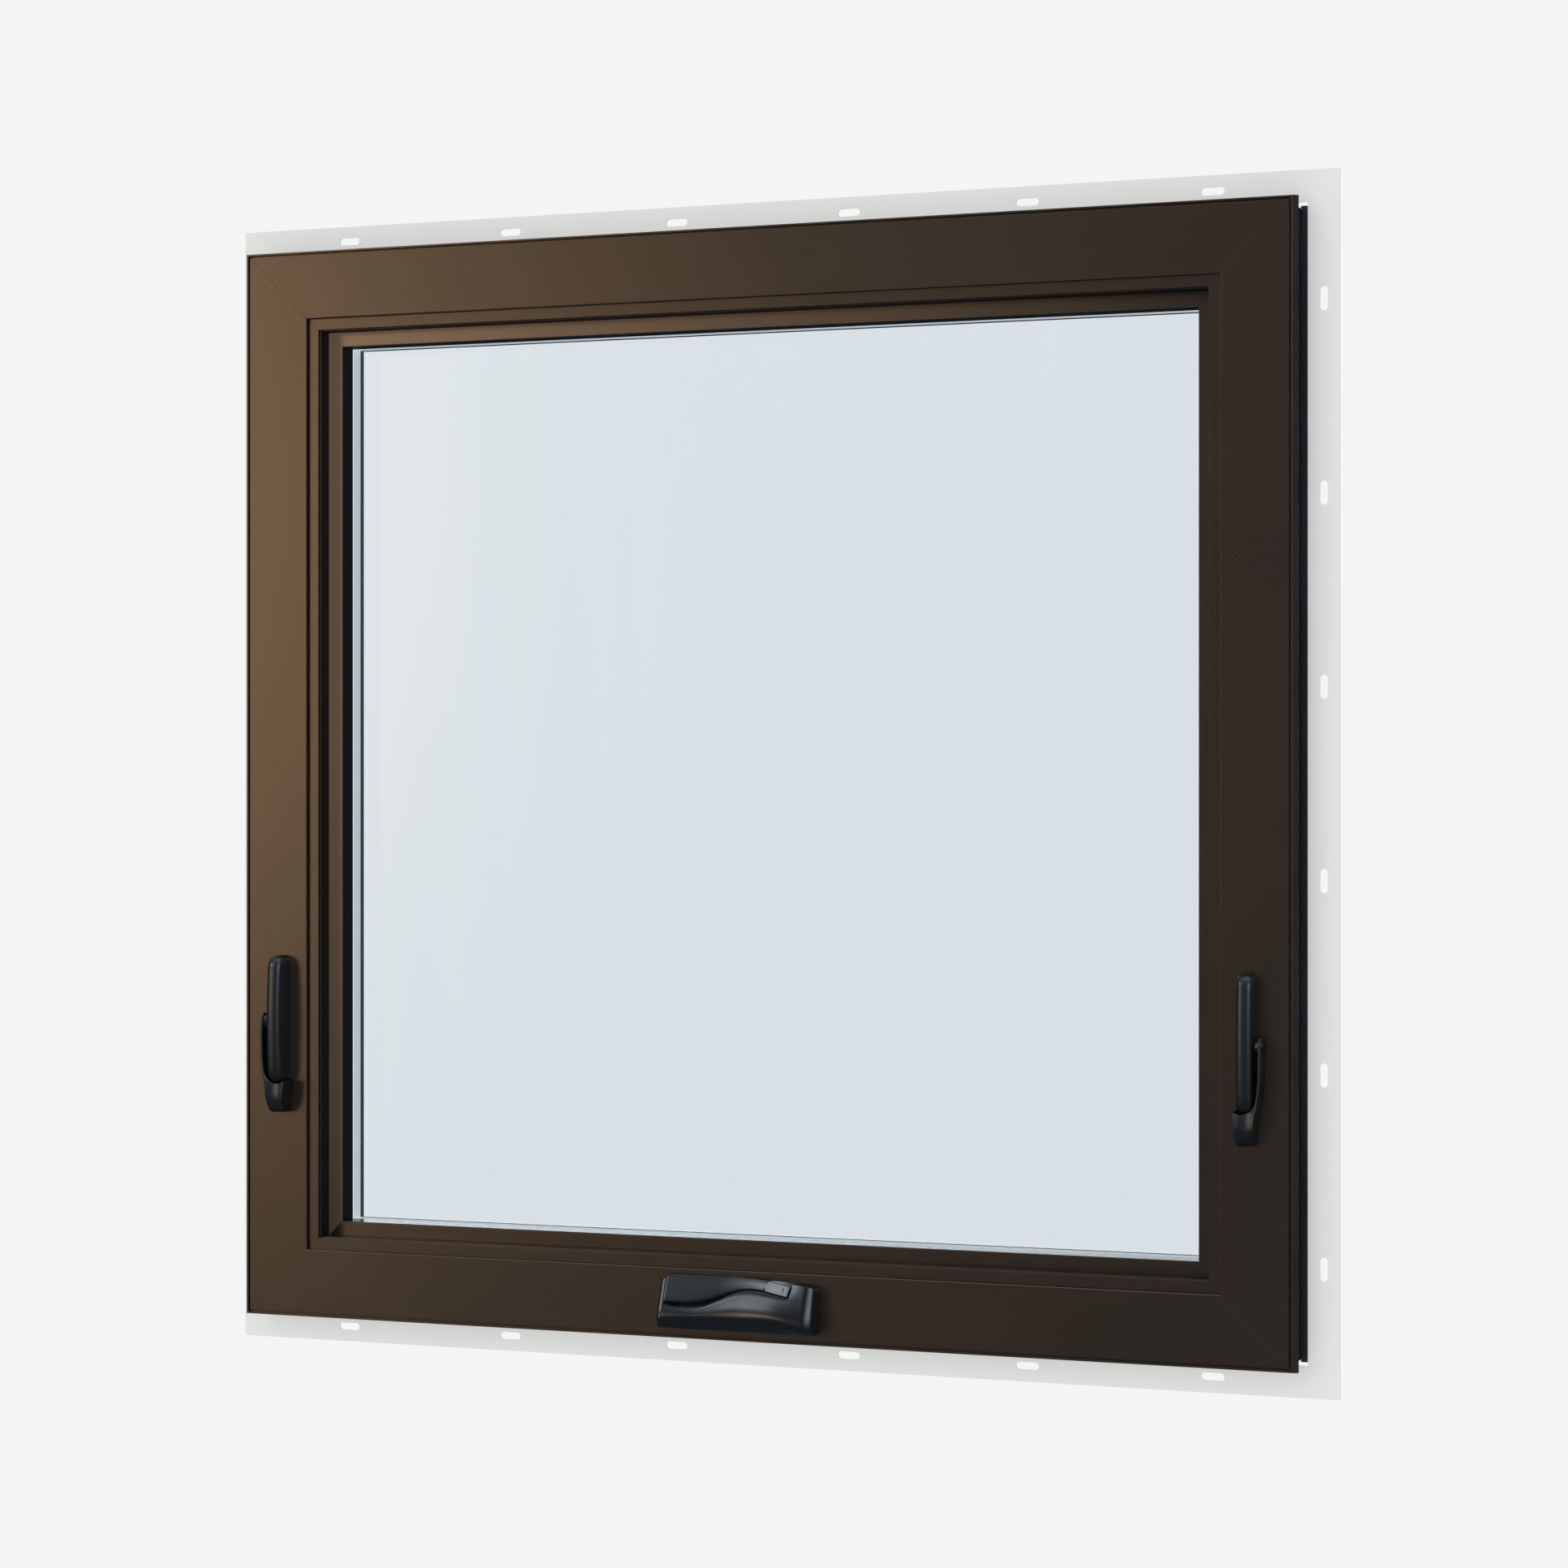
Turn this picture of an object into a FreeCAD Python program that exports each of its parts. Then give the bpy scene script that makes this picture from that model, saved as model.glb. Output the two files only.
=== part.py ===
import FreeCAD, Part
import math
import os

# Top hung awning window with a nailing fin, two sash locks and a folding crank.
# X runs to the right seen from the room, Y runs outdoors and Z runs up.
# The origin lies on the fin's bearing face, in the middle of the bottom slot line.
# All sizes are in millimetres.

V = FreeCAD.Vector

# Overall sizes
FRAME_WIDTH = 914.4
FRAME_HEIGHT = 914.4
SILL_TO_OUTDOORS = 34.5

# Nailing fin and its slots
FIN_REACH = 25.4
FIN_THICKNESS = 1.6
FIN_TONGUE = 3.6
FIN_TONGUE_STEP = 0.2
SLOT_LENGTH = 19.05
SLOT_WIDTH = 6.35
SLOT_FROM_EDGE = 12.7
SLOT_FROM_CORNER = 101.6
SLOT_PITCH = 152.4

# Clip rail that holds the fin
CLIP_FRONT_LIP = 1.2
CLIP_BACK_LIP = 3.4
JAMB_CLIP_SETBACK = 3.2
HEAD_CLIP_SETBACK = 11.0

# Frame box behind the interior casing
BODY_INSET = 5.2
JAMB_WALL = 15.0
LEG_THICKNESS = 7.5

# Interior casing with its outer lip and shadow groove
CASING_DEPTH = 14.1
CASING_WIDTH = 59.3
FLANGE_TAPER = 1.8
FLANGE_BACK_CHAMFER = 1.2
LIP_WIDTH = 1.6
GROOVE_WIDTH = 1.7
GROOVE_DEPTH = 3.0
FACE_FORWARD = 47.6
EDGE_CHAMFER = 0.5

# Stop between casing and sash
STOP_WIDTH = 9.7
STOP_STEP = 3.5
LEDGE_WIDTH = 0.7
LEDGE_STEP = 3.3

# Weatherstrip between the frame leg and the sash
SEAL_GAP = 1.5
SEAL_WIDTH = 4.0
SEAL_KERF = 4.0
SEAL_FROM_REVEAL = 3.7

# Sash and glazing
SASH_CLEARANCE = 5.0
SASH_WIDTH = 56.5
SASH_DEPTH = 54.5
SASH_LEG = 20.0
GLASS_BITE = 10.5
GLASS_EDGE_GAP = 4.0
PANE_THICKNESS = 3.0
AIR_SPACE = 13.0
GASKET_THICKNESS = 1.0
GASKET_INSET = 0.7
SPACER_WIDTH = 6.5
BEAD_DEPTH = 12.0
BEAD_EDGE = 3.0
BEAD_TOP = 4.8
BEAD_INSET = 0.5

# Hinge stays in the side gap
STAY_LENGTH = 300.0
STAY_DEPTH = 16.0
STAY_FROM_TOP = 30.0
STAY_FROM_FACE = 14.0

# Sash locks on the two jambs
LOCK_FROM_EDGE = 36.8
LOCK_BOTTOM_ABOVE_SILL = 200.2
LOCK_LENGTH = 110.5
LOCK_WIDTH = 14.0
LOCK_PROUD = 20.0
LOCK_PROUD_ENDS = 17.0
LOCK_END_RADIUS = 9.0
LOCK_EDGE_RADIUS = 4.5
LEVER_PIVOT_ABOVE_BOTTOM = 53.8
LEVER_PIVOT_PROUD = 9.2
LEVER_THICKNESS = 2.0
LEVER_EYE_RADIUS = 7.7
LEVER_BOSS_RADIUS = 6.2
LEVER_BOSS_LENGTH = 3.6
LEVER_SIDE_GAP = 0.4
LEVER_POCKET_GAP = 1.2
LEVER_FOOT_ABOVE_TAB = 20.0
LOCK_PIN_RADIUS = 2.5
LOCK_PIN_SEAT = 6.0
RUNNING_GAP = 0.05
SEAT_GAP = 0.02
TAB_LENGTH = 26.1
TAB_OVERLAP = 2.5
TAB_RIM_OVERHANG = 9.6
TAB_RIM_PROUD = 19.0
TAB_END_WIDTH = 13.5
TAB_END_PROUD = 10.0
TAB_CORNER_RADIUS = 2.5

# Crank operator on the sill
COVER_LEFT = 70.0
COVER_RIGHT = 68.0
COVER_BOTTOM_ABOVE_EDGE = 11.2
COVER_HEIGHT = 44.0
COVER_TOP_PROUD = 5.0
COVER_BOTTOM_PROUD = 12.0
SLOPE_ANGLE = 25.0
RIDGE_DROP = 30.5
RIDGE_PROUD = 19.2
BOW_START = 20.0
BOW_RADIUS = 377.0
BOW_END_DROP = 3.0
RIGHT_RIDGE_PROUD = 24.0
RIGHT_RIDGE_DROP = 37.0
SHOULDER_DROP = 4.5
SHOULDER_WIDTH = 6.0
RIGHT_END_DROP = 9.0
RIGHT_END_PROUD = 14.0
HANDLE_LEFT = 64.0
HANDLE_WIDTH = 23.6
PADDLE_LENGTH = 22.0
HANDLE_NECK = 9.4
WAIST_FROM_HUB = 13.6
WAIST_DROP = 10.5
NECK_BEND_FROM_HUB = 27.0
HANDLE_THICKNESS = 4.0
HANDLE_EDGE_RADIUS = 0.8
RECESS_GAP = 1.0
SCOOP_LEFT = 65.0
SCOOP_RIGHT = 6.0
SCOOP_MIDDLE = 43.0
SCOOP_DEPTH = 5.5
SCOOP_RIGHT_DROP = 13.0
HUB_LEFT = 25.6
HUB_MID_DROP = 7.4
HUB_TILT = 13.3
HUB_LENGTH = 21.4
HUB_DEPTH = 8.0
HUB_JOINT_GAP = 0.4
PIN_FROM_HUB_LEFT = 10.4
PIN_DEPTH = 2.2
CRANK_PIN_RADIUS = 1.2
KNUCKLE_RADIUS = 2.2
KNUCKLE_WIDTH = 4.2
KNUCKLE_GAP = 0.3
FORK_SLOT_BEYOND_PIN = 6.4
KNOB_RADIUS = 6.0
KNOB_HEIGHT = 4.6
KNOB_FROM_LEFT = 10.0
KNOB_FROM_TOP = 15.5
KNOB_GAP = 1.2

# Places that follow from the sizes above
HALF_W = FRAME_WIDTH / 2
HALF_H = FRAME_HEIGHT / 2
CENTRE_Z = HALF_H + FIN_REACH - SLOT_FROM_EDGE
FACE_Y = -FACE_FORWARD
CASING_BACK_Y = FACE_Y + CASING_DEPTH
LEG_BACK_Y = CASING_BACK_Y + LEG_THICKNESS
SASH_FACE_Y = LEG_BACK_Y + SEAL_GAP
SASH_BACK_Y = SASH_FACE_Y + SASH_DEPTH
SASH_LEG_Y = SASH_FACE_Y + SASH_LEG
REVEAL_Q = CASING_WIDTH + STOP_WIDTH + LEDGE_WIDTH
JAMB_INNER_Q = BODY_INSET + JAMB_WALL
SASH_OUTER_Q = JAMB_INNER_Q + SASH_CLEARANCE
SIGHT_Q = SASH_OUTER_Q + SASH_WIDTH
GLASS_Q = SIGHT_Q - GLASS_BITE
REBATE_Q = GLASS_Q - GLASS_EDGE_GAP
INNER_PANE_Y = SASH_LEG_Y + GASKET_THICKNESS
SPACER_Y = INNER_PANE_Y + PANE_THICKNESS
OUTER_PANE_Y = SPACER_Y + AIR_SPACE
OUTER_GASKET_Y = OUTER_PANE_Y + PANE_THICKNESS
BEAD_Y = OUTER_GASKET_Y + GASKET_THICKNESS

SIDES = ["head", "sill", "left", "right"]


def box(low, high):
    size = high - low
    return Part.makeBox(size.x, size.y, size.z, low)


def solid_of(points, sweep):
    face = Part.Face(Part.makePolygon(points + [points[0]]))
    return face.extrude(sweep)


def straight(profile, side, setback):
    """A plain length of a profile along one side, ending short of both corners.

    A profile is a list of (q, y): q is measured inwards from the frame's outer edge.
    """
    run_x = HALF_W - setback
    run_z = HALF_H - setback
    if side == "head":
        points = [V(-run_x, y, CENTRE_Z + HALF_H - q) for q, y in profile]
        return solid_of(points, V(2 * run_x, 0, 0))
    if side == "sill":
        points = [V(-run_x, y, CENTRE_Z - HALF_H + q) for q, y in profile]
        return solid_of(points, V(2 * run_x, 0, 0))
    if side == "left":
        points = [V(-HALF_W + q, y, CENTRE_Z - run_z) for q, y in profile]
        return solid_of(points, V(0, 0, 2 * run_z))
    points = [V(HALF_W - q, y, CENTRE_Z - run_z) for q, y in profile]
    return solid_of(points, V(0, 0, 2 * run_z))


def mitre_wedge(side, outwards, inwards, y_low, y_high):
    """The space between the two corner mitres of one side, seen from the room."""
    long_x = HALF_W + outwards
    short_x = HALF_W - inwards
    long_z = HALF_H + outwards
    short_z = HALF_H - inwards
    if side in ("head", "sill"):
        up = 1 if side == "head" else -1
        corners = [(-long_x, up * long_z), (long_x, up * long_z)]
        corners += [(short_x, up * short_z), (-short_x, up * short_z)]
    else:
        out = 1 if side == "right" else -1
        corners = [(out * long_x, -long_z), (out * long_x, long_z)]
        corners += [(out * short_x, short_z), (out * short_x, -short_z)]
    points = [V(x, y_low, CENTRE_Z + z) for x, z in corners]
    return solid_of(points, V(0, y_high - y_low, 0))


def mitred(profile, side):
    """A length of a profile along one side, mitred at both corners."""
    low_q = min(q for q, y in profile)
    high_q = max(q for q, y in profile)
    low_y = min(y for q, y in profile)
    high_y = max(y for q, y in profile)
    bar = straight(profile, side, min(low_q, 0) - 1)
    wedge = mitre_wedge(side, 1 - min(low_q, 0), high_q + 1, low_y - 1, high_y + 1)
    return bar.common(wedge)


def ring(outer_q, inner_q, y_low, y_high):
    """A closed rectangular ring that follows the frame."""
    rings = []
    for q in (outer_q, inner_q):
        low = V(-HALF_W + q, y_low, CENTRE_Z - HALF_H + q)
        high = V(HALF_W - q, y_high, CENTRE_Z + HALF_H - q)
        rings.append(box(low, high))
    return rings[0].cut(rings[1])


def sheet(edge_q, y_low, thickness):
    low = V(-HALF_W + edge_q, y_low, CENTRE_Z - HALF_H + edge_q)
    high = V(HALF_W - edge_q, y_low + thickness, CENTRE_Z + HALF_H - edge_q)
    return box(low, high)


# Frame profiles

def casing_profile():
    lip_q = FLANGE_TAPER + LIP_WIDTH
    face_q = lip_q + GROOVE_WIDTH
    return [
        (FLANGE_BACK_CHAMFER, CASING_BACK_Y),
        (0, CASING_BACK_Y - FLANGE_BACK_CHAMFER),
        (FLANGE_TAPER, FACE_Y),
        (lip_q, FACE_Y),
        (lip_q, FACE_Y + GROOVE_DEPTH),
        (face_q, FACE_Y + GROOVE_DEPTH),
        (face_q, FACE_Y),
        (CASING_WIDTH - EDGE_CHAMFER, FACE_Y),
        (CASING_WIDTH, FACE_Y + EDGE_CHAMFER),
        (CASING_WIDTH, CASING_BACK_Y),
    ]


def stop_profile():
    stop_y = FACE_Y + STOP_STEP
    ledge_q = CASING_WIDTH + STOP_WIDTH
    return [
        (CASING_WIDTH, CASING_BACK_Y),
        (CASING_WIDTH, stop_y),
        (ledge_q, stop_y),
        (ledge_q, stop_y + LEDGE_STEP),
        (REVEAL_Q, stop_y + LEDGE_STEP),
        (REVEAL_Q, CASING_BACK_Y),
    ]


def seal_span():
    high_q = REVEAL_Q - SEAL_FROM_REVEAL
    return high_q - SEAL_WIDTH, high_q


def frame_profile():
    seal_low, seal_high = seal_span()
    return [
        (BODY_INSET, CASING_BACK_Y),
        (REVEAL_Q, CASING_BACK_Y),
        (REVEAL_Q, LEG_BACK_Y),
        (seal_high, LEG_BACK_Y),
        (seal_high, LEG_BACK_Y - SEAL_KERF),
        (seal_low, LEG_BACK_Y - SEAL_KERF),
        (seal_low, LEG_BACK_Y),
        (JAMB_INNER_Q, LEG_BACK_Y),
        (JAMB_INNER_Q, SILL_TO_OUTDOORS),
        (BODY_INSET, SILL_TO_OUTDOORS),
    ]


def clip_profile():
    return [
        (BODY_INSET, -CLIP_FRONT_LIP),
        (0, -CLIP_FRONT_LIP),
        (0, 0),
        (FIN_TONGUE, 0),
        (FIN_TONGUE, FIN_THICKNESS),
        (0, FIN_THICKNESS),
        (0, FIN_THICKNESS + CLIP_BACK_LIP),
        (BODY_INSET, FIN_THICKNESS + CLIP_BACK_LIP),
    ]


def clip_setback(side):
    return HEAD_CLIP_SETBACK if side in ("head", "sill") else JAMB_CLIP_SETBACK


def slot_cutter(x, z, along_x):
    """One obround slot through the fin, centred on (x, z)."""
    radius = SLOT_WIDTH / 2
    flat = (SLOT_LENGTH - SLOT_WIDTH) / 2
    y_low = -FIN_THICKNESS
    depth = 3 * FIN_THICKNESS
    step = V(flat, 0, 0) if along_x else V(0, 0, flat)
    across = V(0, 0, radius) if along_x else V(radius, 0, 0)
    centre = V(x, y_low, z)
    body = box(centre - step - across, centre + step + across + V(0, depth, 0))
    for end in (centre - step, centre + step):
        body = body.fuse(Part.makeCylinder(radius, depth, end, V(0, 1, 0)))
    return body


def slot_places(fin_length):
    """Slot centres along one fin, evenly pitched about its middle."""
    count = int((fin_length - 2 * SLOT_FROM_CORNER) / SLOT_PITCH + 0.001) + 1
    first = -(count - 1) * SLOT_PITCH / 2
    return [first + i * SLOT_PITCH for i in range(count)]


def nail_fin(side):
    plate = [(-FIN_REACH, 0), (0, 0), (0, FIN_THICKNESS), (-FIN_REACH, FIN_THICKNESS)]
    tongue = [(0, FIN_TONGUE_STEP), (FIN_TONGUE, FIN_TONGUE_STEP), (FIN_TONGUE, FIN_THICKNESS),
              (0, FIN_THICKNESS)]
    fin = mitred(plate, side).fuse(straight(tongue, side, clip_setback(side)))
    fin = fin.removeSplitter()
    line_x = HALF_W + FIN_REACH - SLOT_FROM_EDGE
    line_z = HALF_H + FIN_REACH - SLOT_FROM_EDGE
    if side in ("head", "sill"):
        z = CENTRE_Z + (line_z if side == "head" else -line_z)
        for x in slot_places(FRAME_WIDTH + 2 * FIN_REACH):
            fin = fin.cut(slot_cutter(x, z, True))
    else:
        x = line_x if side == "right" else -line_x
        for place in slot_places(FRAME_HEIGHT + 2 * FIN_REACH):
            fin = fin.cut(slot_cutter(x, CENTRE_Z + place, False))
    return fin


# Sash and glazing profiles

def sash_profile():
    return [
        (SIGHT_Q - EDGE_CHAMFER, SASH_FACE_Y),
        (SASH_OUTER_Q, SASH_FACE_Y),
        (SASH_OUTER_Q, SASH_BACK_Y),
        (REBATE_Q, SASH_BACK_Y),
        (REBATE_Q, SASH_LEG_Y),
        (SIGHT_Q, SASH_LEG_Y),
        (SIGHT_Q, SASH_FACE_Y + EDGE_CHAMFER),
    ]


def bead_profile():
    inner_q = SIGHT_Q - BEAD_INSET
    return [
        (REBATE_Q, BEAD_Y),
        (inner_q, BEAD_Y),
        (inner_q, BEAD_Y + BEAD_EDGE),
        (REBATE_Q + BEAD_TOP, BEAD_Y + BEAD_DEPTH),
        (REBATE_Q, BEAD_Y + BEAD_DEPTH),
    ]


def glazing_gasket():
    inner_q = SIGHT_Q - GASKET_INSET
    inside = ring(GLASS_Q, inner_q, SASH_LEG_Y, INNER_PANE_Y)
    outside = ring(GLASS_Q, inner_q, OUTER_GASKET_Y, BEAD_Y)
    return Part.makeCompound([inside, outside])


def glass_spacer():
    inner_q = SIGHT_Q - GASKET_INSET
    return ring(inner_q - SPACER_WIDTH, inner_q, SPACER_Y, OUTER_PANE_Y)


def weatherstrip():
    low_q, high_q = seal_span()
    return ring(low_q, high_q, LEG_BACK_Y - SEAL_KERF, SASH_FACE_Y)


def hinge_stays():
    """One flat stay in the gap at each side, near the top of the sash."""
    top_z = CENTRE_Z + HALF_H - SASH_OUTER_Q - STAY_FROM_TOP
    low_y = SASH_FACE_Y + STAY_FROM_FACE
    stays = []
    for out in (-1, 1):
        edges = sorted([out * (HALF_W - SASH_OUTER_Q), out * (HALF_W - JAMB_INNER_Q)])
        low = V(edges[0], low_y, top_z - STAY_LENGTH)
        high = V(edges[1], low_y + STAY_DEPTH, top_z)
        stays.append(box(low, high))
    return Part.makeCompound(stays)


# Sash locks, drawn on the right jamb and mirrored for the left

LOCK_X = HALF_W - LOCK_FROM_EDGE
LOCK_BOTTOM_Z = CENTRE_Z - HALF_H + LOCK_BOTTOM_ABOVE_SILL
PIVOT_Y = FACE_Y - LEVER_PIVOT_PROUD
PIVOT_Z = LOCK_BOTTOM_Z + LEVER_PIVOT_ABOVE_BOTTOM
LOCK_SIDE_X = LOCK_X + LOCK_WIDTH / 2
ARM_X = LOCK_SIDE_X + LEVER_SIDE_GAP + LEVER_BOSS_LENGTH
ARM_OUT_X = ARM_X + LEVER_THICKNESS


def housing_form(gap):
    """The lock's bowed housing with round ends, grown by a gap on every free side."""
    low_z = LOCK_BOTTOM_Z - gap
    high_z = LOCK_BOTTOM_Z + LOCK_LENGTH + gap
    end_y = FACE_Y - LOCK_PROUD_ENDS - gap
    x = LOCK_X - LOCK_WIDTH / 2 - gap
    base_low = V(x, FACE_Y, low_z)
    base_high = V(x, FACE_Y, high_z)
    front_high = V(x, end_y, high_z)
    front_low = V(x, end_y, low_z)
    bow = V(x, FACE_Y - LOCK_PROUD - gap, (low_z + high_z) / 2)
    edges = [
        Part.LineSegment(base_low, base_high).toShape(),
        Part.LineSegment(base_high, front_high).toShape(),
        Part.Arc(front_high, bow, front_low).toShape(),
        Part.LineSegment(front_low, base_low).toShape(),
    ]
    width = LOCK_WIDTH + 2 * gap
    body = Part.Face(Part.Wire(edges)).extrude(V(width, 0, 0))
    ends = [edge for edge in body.Edges if edge.BoundBox.XLength > LOCK_WIDTH / 2 and
            edge.BoundBox.YMax < FACE_Y - 1]
    return body.makeFillet(LOCK_END_RADIUS, ends)


def lock_housing():
    body = housing_form(0)
    sides = [edge for edge in body.Edges if edge.BoundBox.XLength < 0.01 and
             edge.BoundBox.YMin < FACE_Y - 1 and edge.BoundBox.ZLength > 1]
    body = body.makeFillet(LOCK_EDGE_RADIUS, sides)
    seat = Part.makeCylinder(LOCK_PIN_RADIUS + SEAT_GAP, LOCK_PIN_SEAT,
                             V(LOCK_SIDE_X, PIVOT_Y, PIVOT_Z), V(-1, 0, 0))
    return body.cut(seat)


def rectangle_wire(x_low, x_high, y_low, y_high, z):
    corners = [V(x_low, y_low, z), V(x_high, y_low, z), V(x_high, y_high, z), V(x_low, y_high, z)]
    return Part.makePolygon(corners + [corners[0]])


def lock_lever():
    """Arm beside the housing, with a tab that closes round the housing's lower end."""
    wall_y = PIVOT_Y + LEVER_EYE_RADIUS
    tab_top_z = LOCK_BOTTOM_Z + TAB_OVERLAP
    tab_low_z = tab_top_z - TAB_LENGTH
    arm_low_z = tab_low_z + LEVER_FOOT_ABOVE_TAB
    front_y = FACE_Y - TAB_RIM_PROUD
    eye = Part.makeCylinder(LEVER_EYE_RADIUS, LEVER_THICKNESS, V(ARM_X, PIVOT_Y, PIVOT_Z), V(1, 0, 0))
    arm_points = [
        V(ARM_X, PIVOT_Y - LEVER_EYE_RADIUS, PIVOT_Z),
        V(ARM_X, wall_y, PIVOT_Z),
        V(ARM_X, wall_y, arm_low_z),
        V(ARM_X, front_y, arm_low_z),
    ]
    arm = solid_of(arm_points, V(LEVER_THICKNESS, 0, 0))
    boss = Part.makeCylinder(LEVER_BOSS_RADIUS, LEVER_BOSS_LENGTH,
                             V(ARM_X - LEVER_BOSS_LENGTH, PIVOT_Y, PIVOT_Z), V(1, 0, 0))
    rim = rectangle_wire(LOCK_X - TAB_RIM_OVERHANG, ARM_OUT_X, front_y, wall_y, tab_top_z)
    end_half = TAB_END_WIDTH / 2
    end = rectangle_wire(LOCK_X - end_half, LOCK_X + end_half, FACE_Y - TAB_END_PROUD, wall_y, tab_low_z)
    tab = Part.makeLoft([rim, end], True, True)
    corners = [edge for edge in tab.Edges if edge.BoundBox.ZLength > TAB_LENGTH / 2 and
               edge.BoundBox.YMin < FACE_Y - TAB_END_PROUD]
    tab = tab.makeFillet(TAB_CORNER_RADIUS, corners)
    lever = tab.fuse([arm, eye, boss]).cut(housing_form(LEVER_POCKET_GAP))
    bore = Part.makeCylinder(LOCK_PIN_RADIUS + RUNNING_GAP, 4 * LEVER_BOSS_LENGTH,
                             V(LOCK_SIDE_X - 1, PIVOT_Y, PIVOT_Z), V(1, 0, 0))
    return lever.cut(bore).removeSplitter()


def lock_pin():
    length = LOCK_PIN_SEAT + ARM_OUT_X - LOCK_SIDE_X
    return Part.makeCylinder(LOCK_PIN_RADIUS, length,
                             V(LOCK_SIDE_X - LOCK_PIN_SEAT, PIVOT_Y, PIVOT_Z), V(1, 0, 0))


# Crank operator. Its front slopes: t runs down the slope from the cover's top edge, and n
# stands out of it. The front is flat at the left and bows outwards to the right, and the folded
# handle follows it.

COVER_LOW_Z = CENTRE_Z - HALF_H + COVER_BOTTOM_ABOVE_EDGE
COVER_TOP_Z = COVER_LOW_Z + COVER_HEIGHT
SLOPE = math.radians(SLOPE_ANGLE)
DOWN_SLOPE = V(0, -math.sin(SLOPE), -math.cos(SLOPE))
OUT_OF_SLOPE = V(0, -math.cos(SLOPE), math.sin(SLOPE))
SLOPE_TOP = V(0, FACE_Y - COVER_TOP_PROUD, COVER_TOP_Z)


def on_slope(x, t, n):
    return V(x, 0, 0) + SLOPE_TOP + DOWN_SLOPE * t + OUT_OF_SLOPE * n


def bow(x):
    """How far the bowed front stands above the slope at x."""
    run = max(0, x + BOW_START)
    return BOW_RADIUS - math.sqrt(BOW_RADIUS ** 2 - run ** 2)


def bowed_layer(top, low):
    """The layer between two heights over the bowed front, as wide and as long as the cover."""
    left = -COVER_LEFT - HUB_DEPTH
    start = -BOW_START
    right = COVER_RIGHT + HUB_DEPTH
    middle = (start + right) / 2

    def at(x, height):
        return on_slope(x, -COVER_HEIGHT, bow(x) + height)

    edges = [
        Part.LineSegment(at(left, low), at(start, low)).toShape(),
        Part.Arc(at(start, low), at(middle, low), at(right, low)).toShape(),
        Part.LineSegment(at(right, low), at(right, top)).toShape(),
        Part.Arc(at(right, top), at(middle, top), at(start, top)).toShape(),
        Part.LineSegment(at(start, top), at(left, top)).toShape(),
        Part.LineSegment(at(left, top), at(left, low)).toShape(),
    ]
    return Part.Face(Part.Wire(edges)).extrude(DOWN_SLOPE * 3 * COVER_HEIGHT)


def cover_section(x, drop, top_proud, ridge_proud, ridge_drop):
    """One upright section of the cover, from its top edge over the ridge to the bottom."""
    points = [
        V(x, FACE_Y, COVER_TOP_Z - drop),
        V(x, FACE_Y - top_proud, COVER_TOP_Z - drop),
        V(x, FACE_Y - ridge_proud, COVER_TOP_Z - ridge_drop),
        V(x, FACE_Y - COVER_BOTTOM_PROUD, COVER_LOW_Z),
        V(x, FACE_Y, COVER_LOW_Z),
    ]
    return Part.makePolygon(points + [points[0]])


def bowed_section(x, share):
    """A section of the bowed stretch, share of the way from its start to the shoulder."""
    top_proud = COVER_TOP_PROUD + bow(x) / math.cos(SLOPE)
    ridge_proud = RIDGE_PROUD + (RIGHT_RIDGE_PROUD - RIDGE_PROUD) * share
    ridge_drop = RIDGE_DROP + (RIGHT_RIDGE_DROP - RIDGE_DROP) * share ** 2
    return cover_section(x, SHOULDER_DROP * share ** 2, top_proud, ridge_proud, ridge_drop)


TILT = math.radians(HUB_TILT)


def along_hub(along, across, n):
    """A point measured along the tilted hub from its left face, and down across it."""
    x = HUB_LEFT + along * math.cos(TILT) - across * math.sin(TILT)
    t = HUB_MID_DROP + along * math.sin(TILT) + across * math.cos(TILT)
    return on_slope(x, t, n)


def handle_outline(grow):
    """The folded handle seen square to the slope: a wide paddle and an S curve to the neck."""
    left = -HANDLE_LEFT - grow
    wide = HANDLE_WIDTH + grow
    half = HANDLE_NECK / 2 + grow
    paddle_end = left + PADDLE_LENGTH
    waist_x = HUB_LEFT - WAIST_FROM_HUB
    run = waist_x - paddle_end
    fall = HANDLE_WIDTH - WAIST_DROP
    end_top = along_hub(-HUB_JOINT_GAP, -half, 0)
    end_low = along_hub(-HUB_JOINT_GAP, half, 0)
    along = V(1, 0, 0)
    down_hub = along * math.cos(TILT) + DOWN_SLOPE * math.sin(TILT)
    bend_points = [
        on_slope(paddle_end, wide, 0),
        on_slope(paddle_end + run / 3, wide - fall / 4, 0),
        on_slope(paddle_end + run * 2 / 3, wide - fall * 3 / 4, 0),
        on_slope(waist_x, wide - fall, 0),
        end_low,
    ]
    bend = Part.BSplineCurve()
    bend.interpolate(bend_points, InitialTangent=along, FinalTangent=down_hub)
    bend_start = on_slope(HUB_LEFT - NECK_BEND_FROM_HUB, -grow, 0)
    fall_away = Part.BSplineCurve()
    fall_away.interpolate([bend_start, end_top], InitialTangent=along, FinalTangent=down_hub)
    top_left = on_slope(left, -grow, 0)
    low_left = on_slope(left, wide, 0)
    return [
        Part.LineSegment(low_left, bend_points[0]).toShape(),
        bend.toShape(),
        Part.LineSegment(end_low, end_top).toShape(),
        fall_away.toShape(),
        Part.LineSegment(bend_start, top_left).toShape(),
        Part.LineSegment(top_left, low_left).toShape(),
    ]


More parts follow.
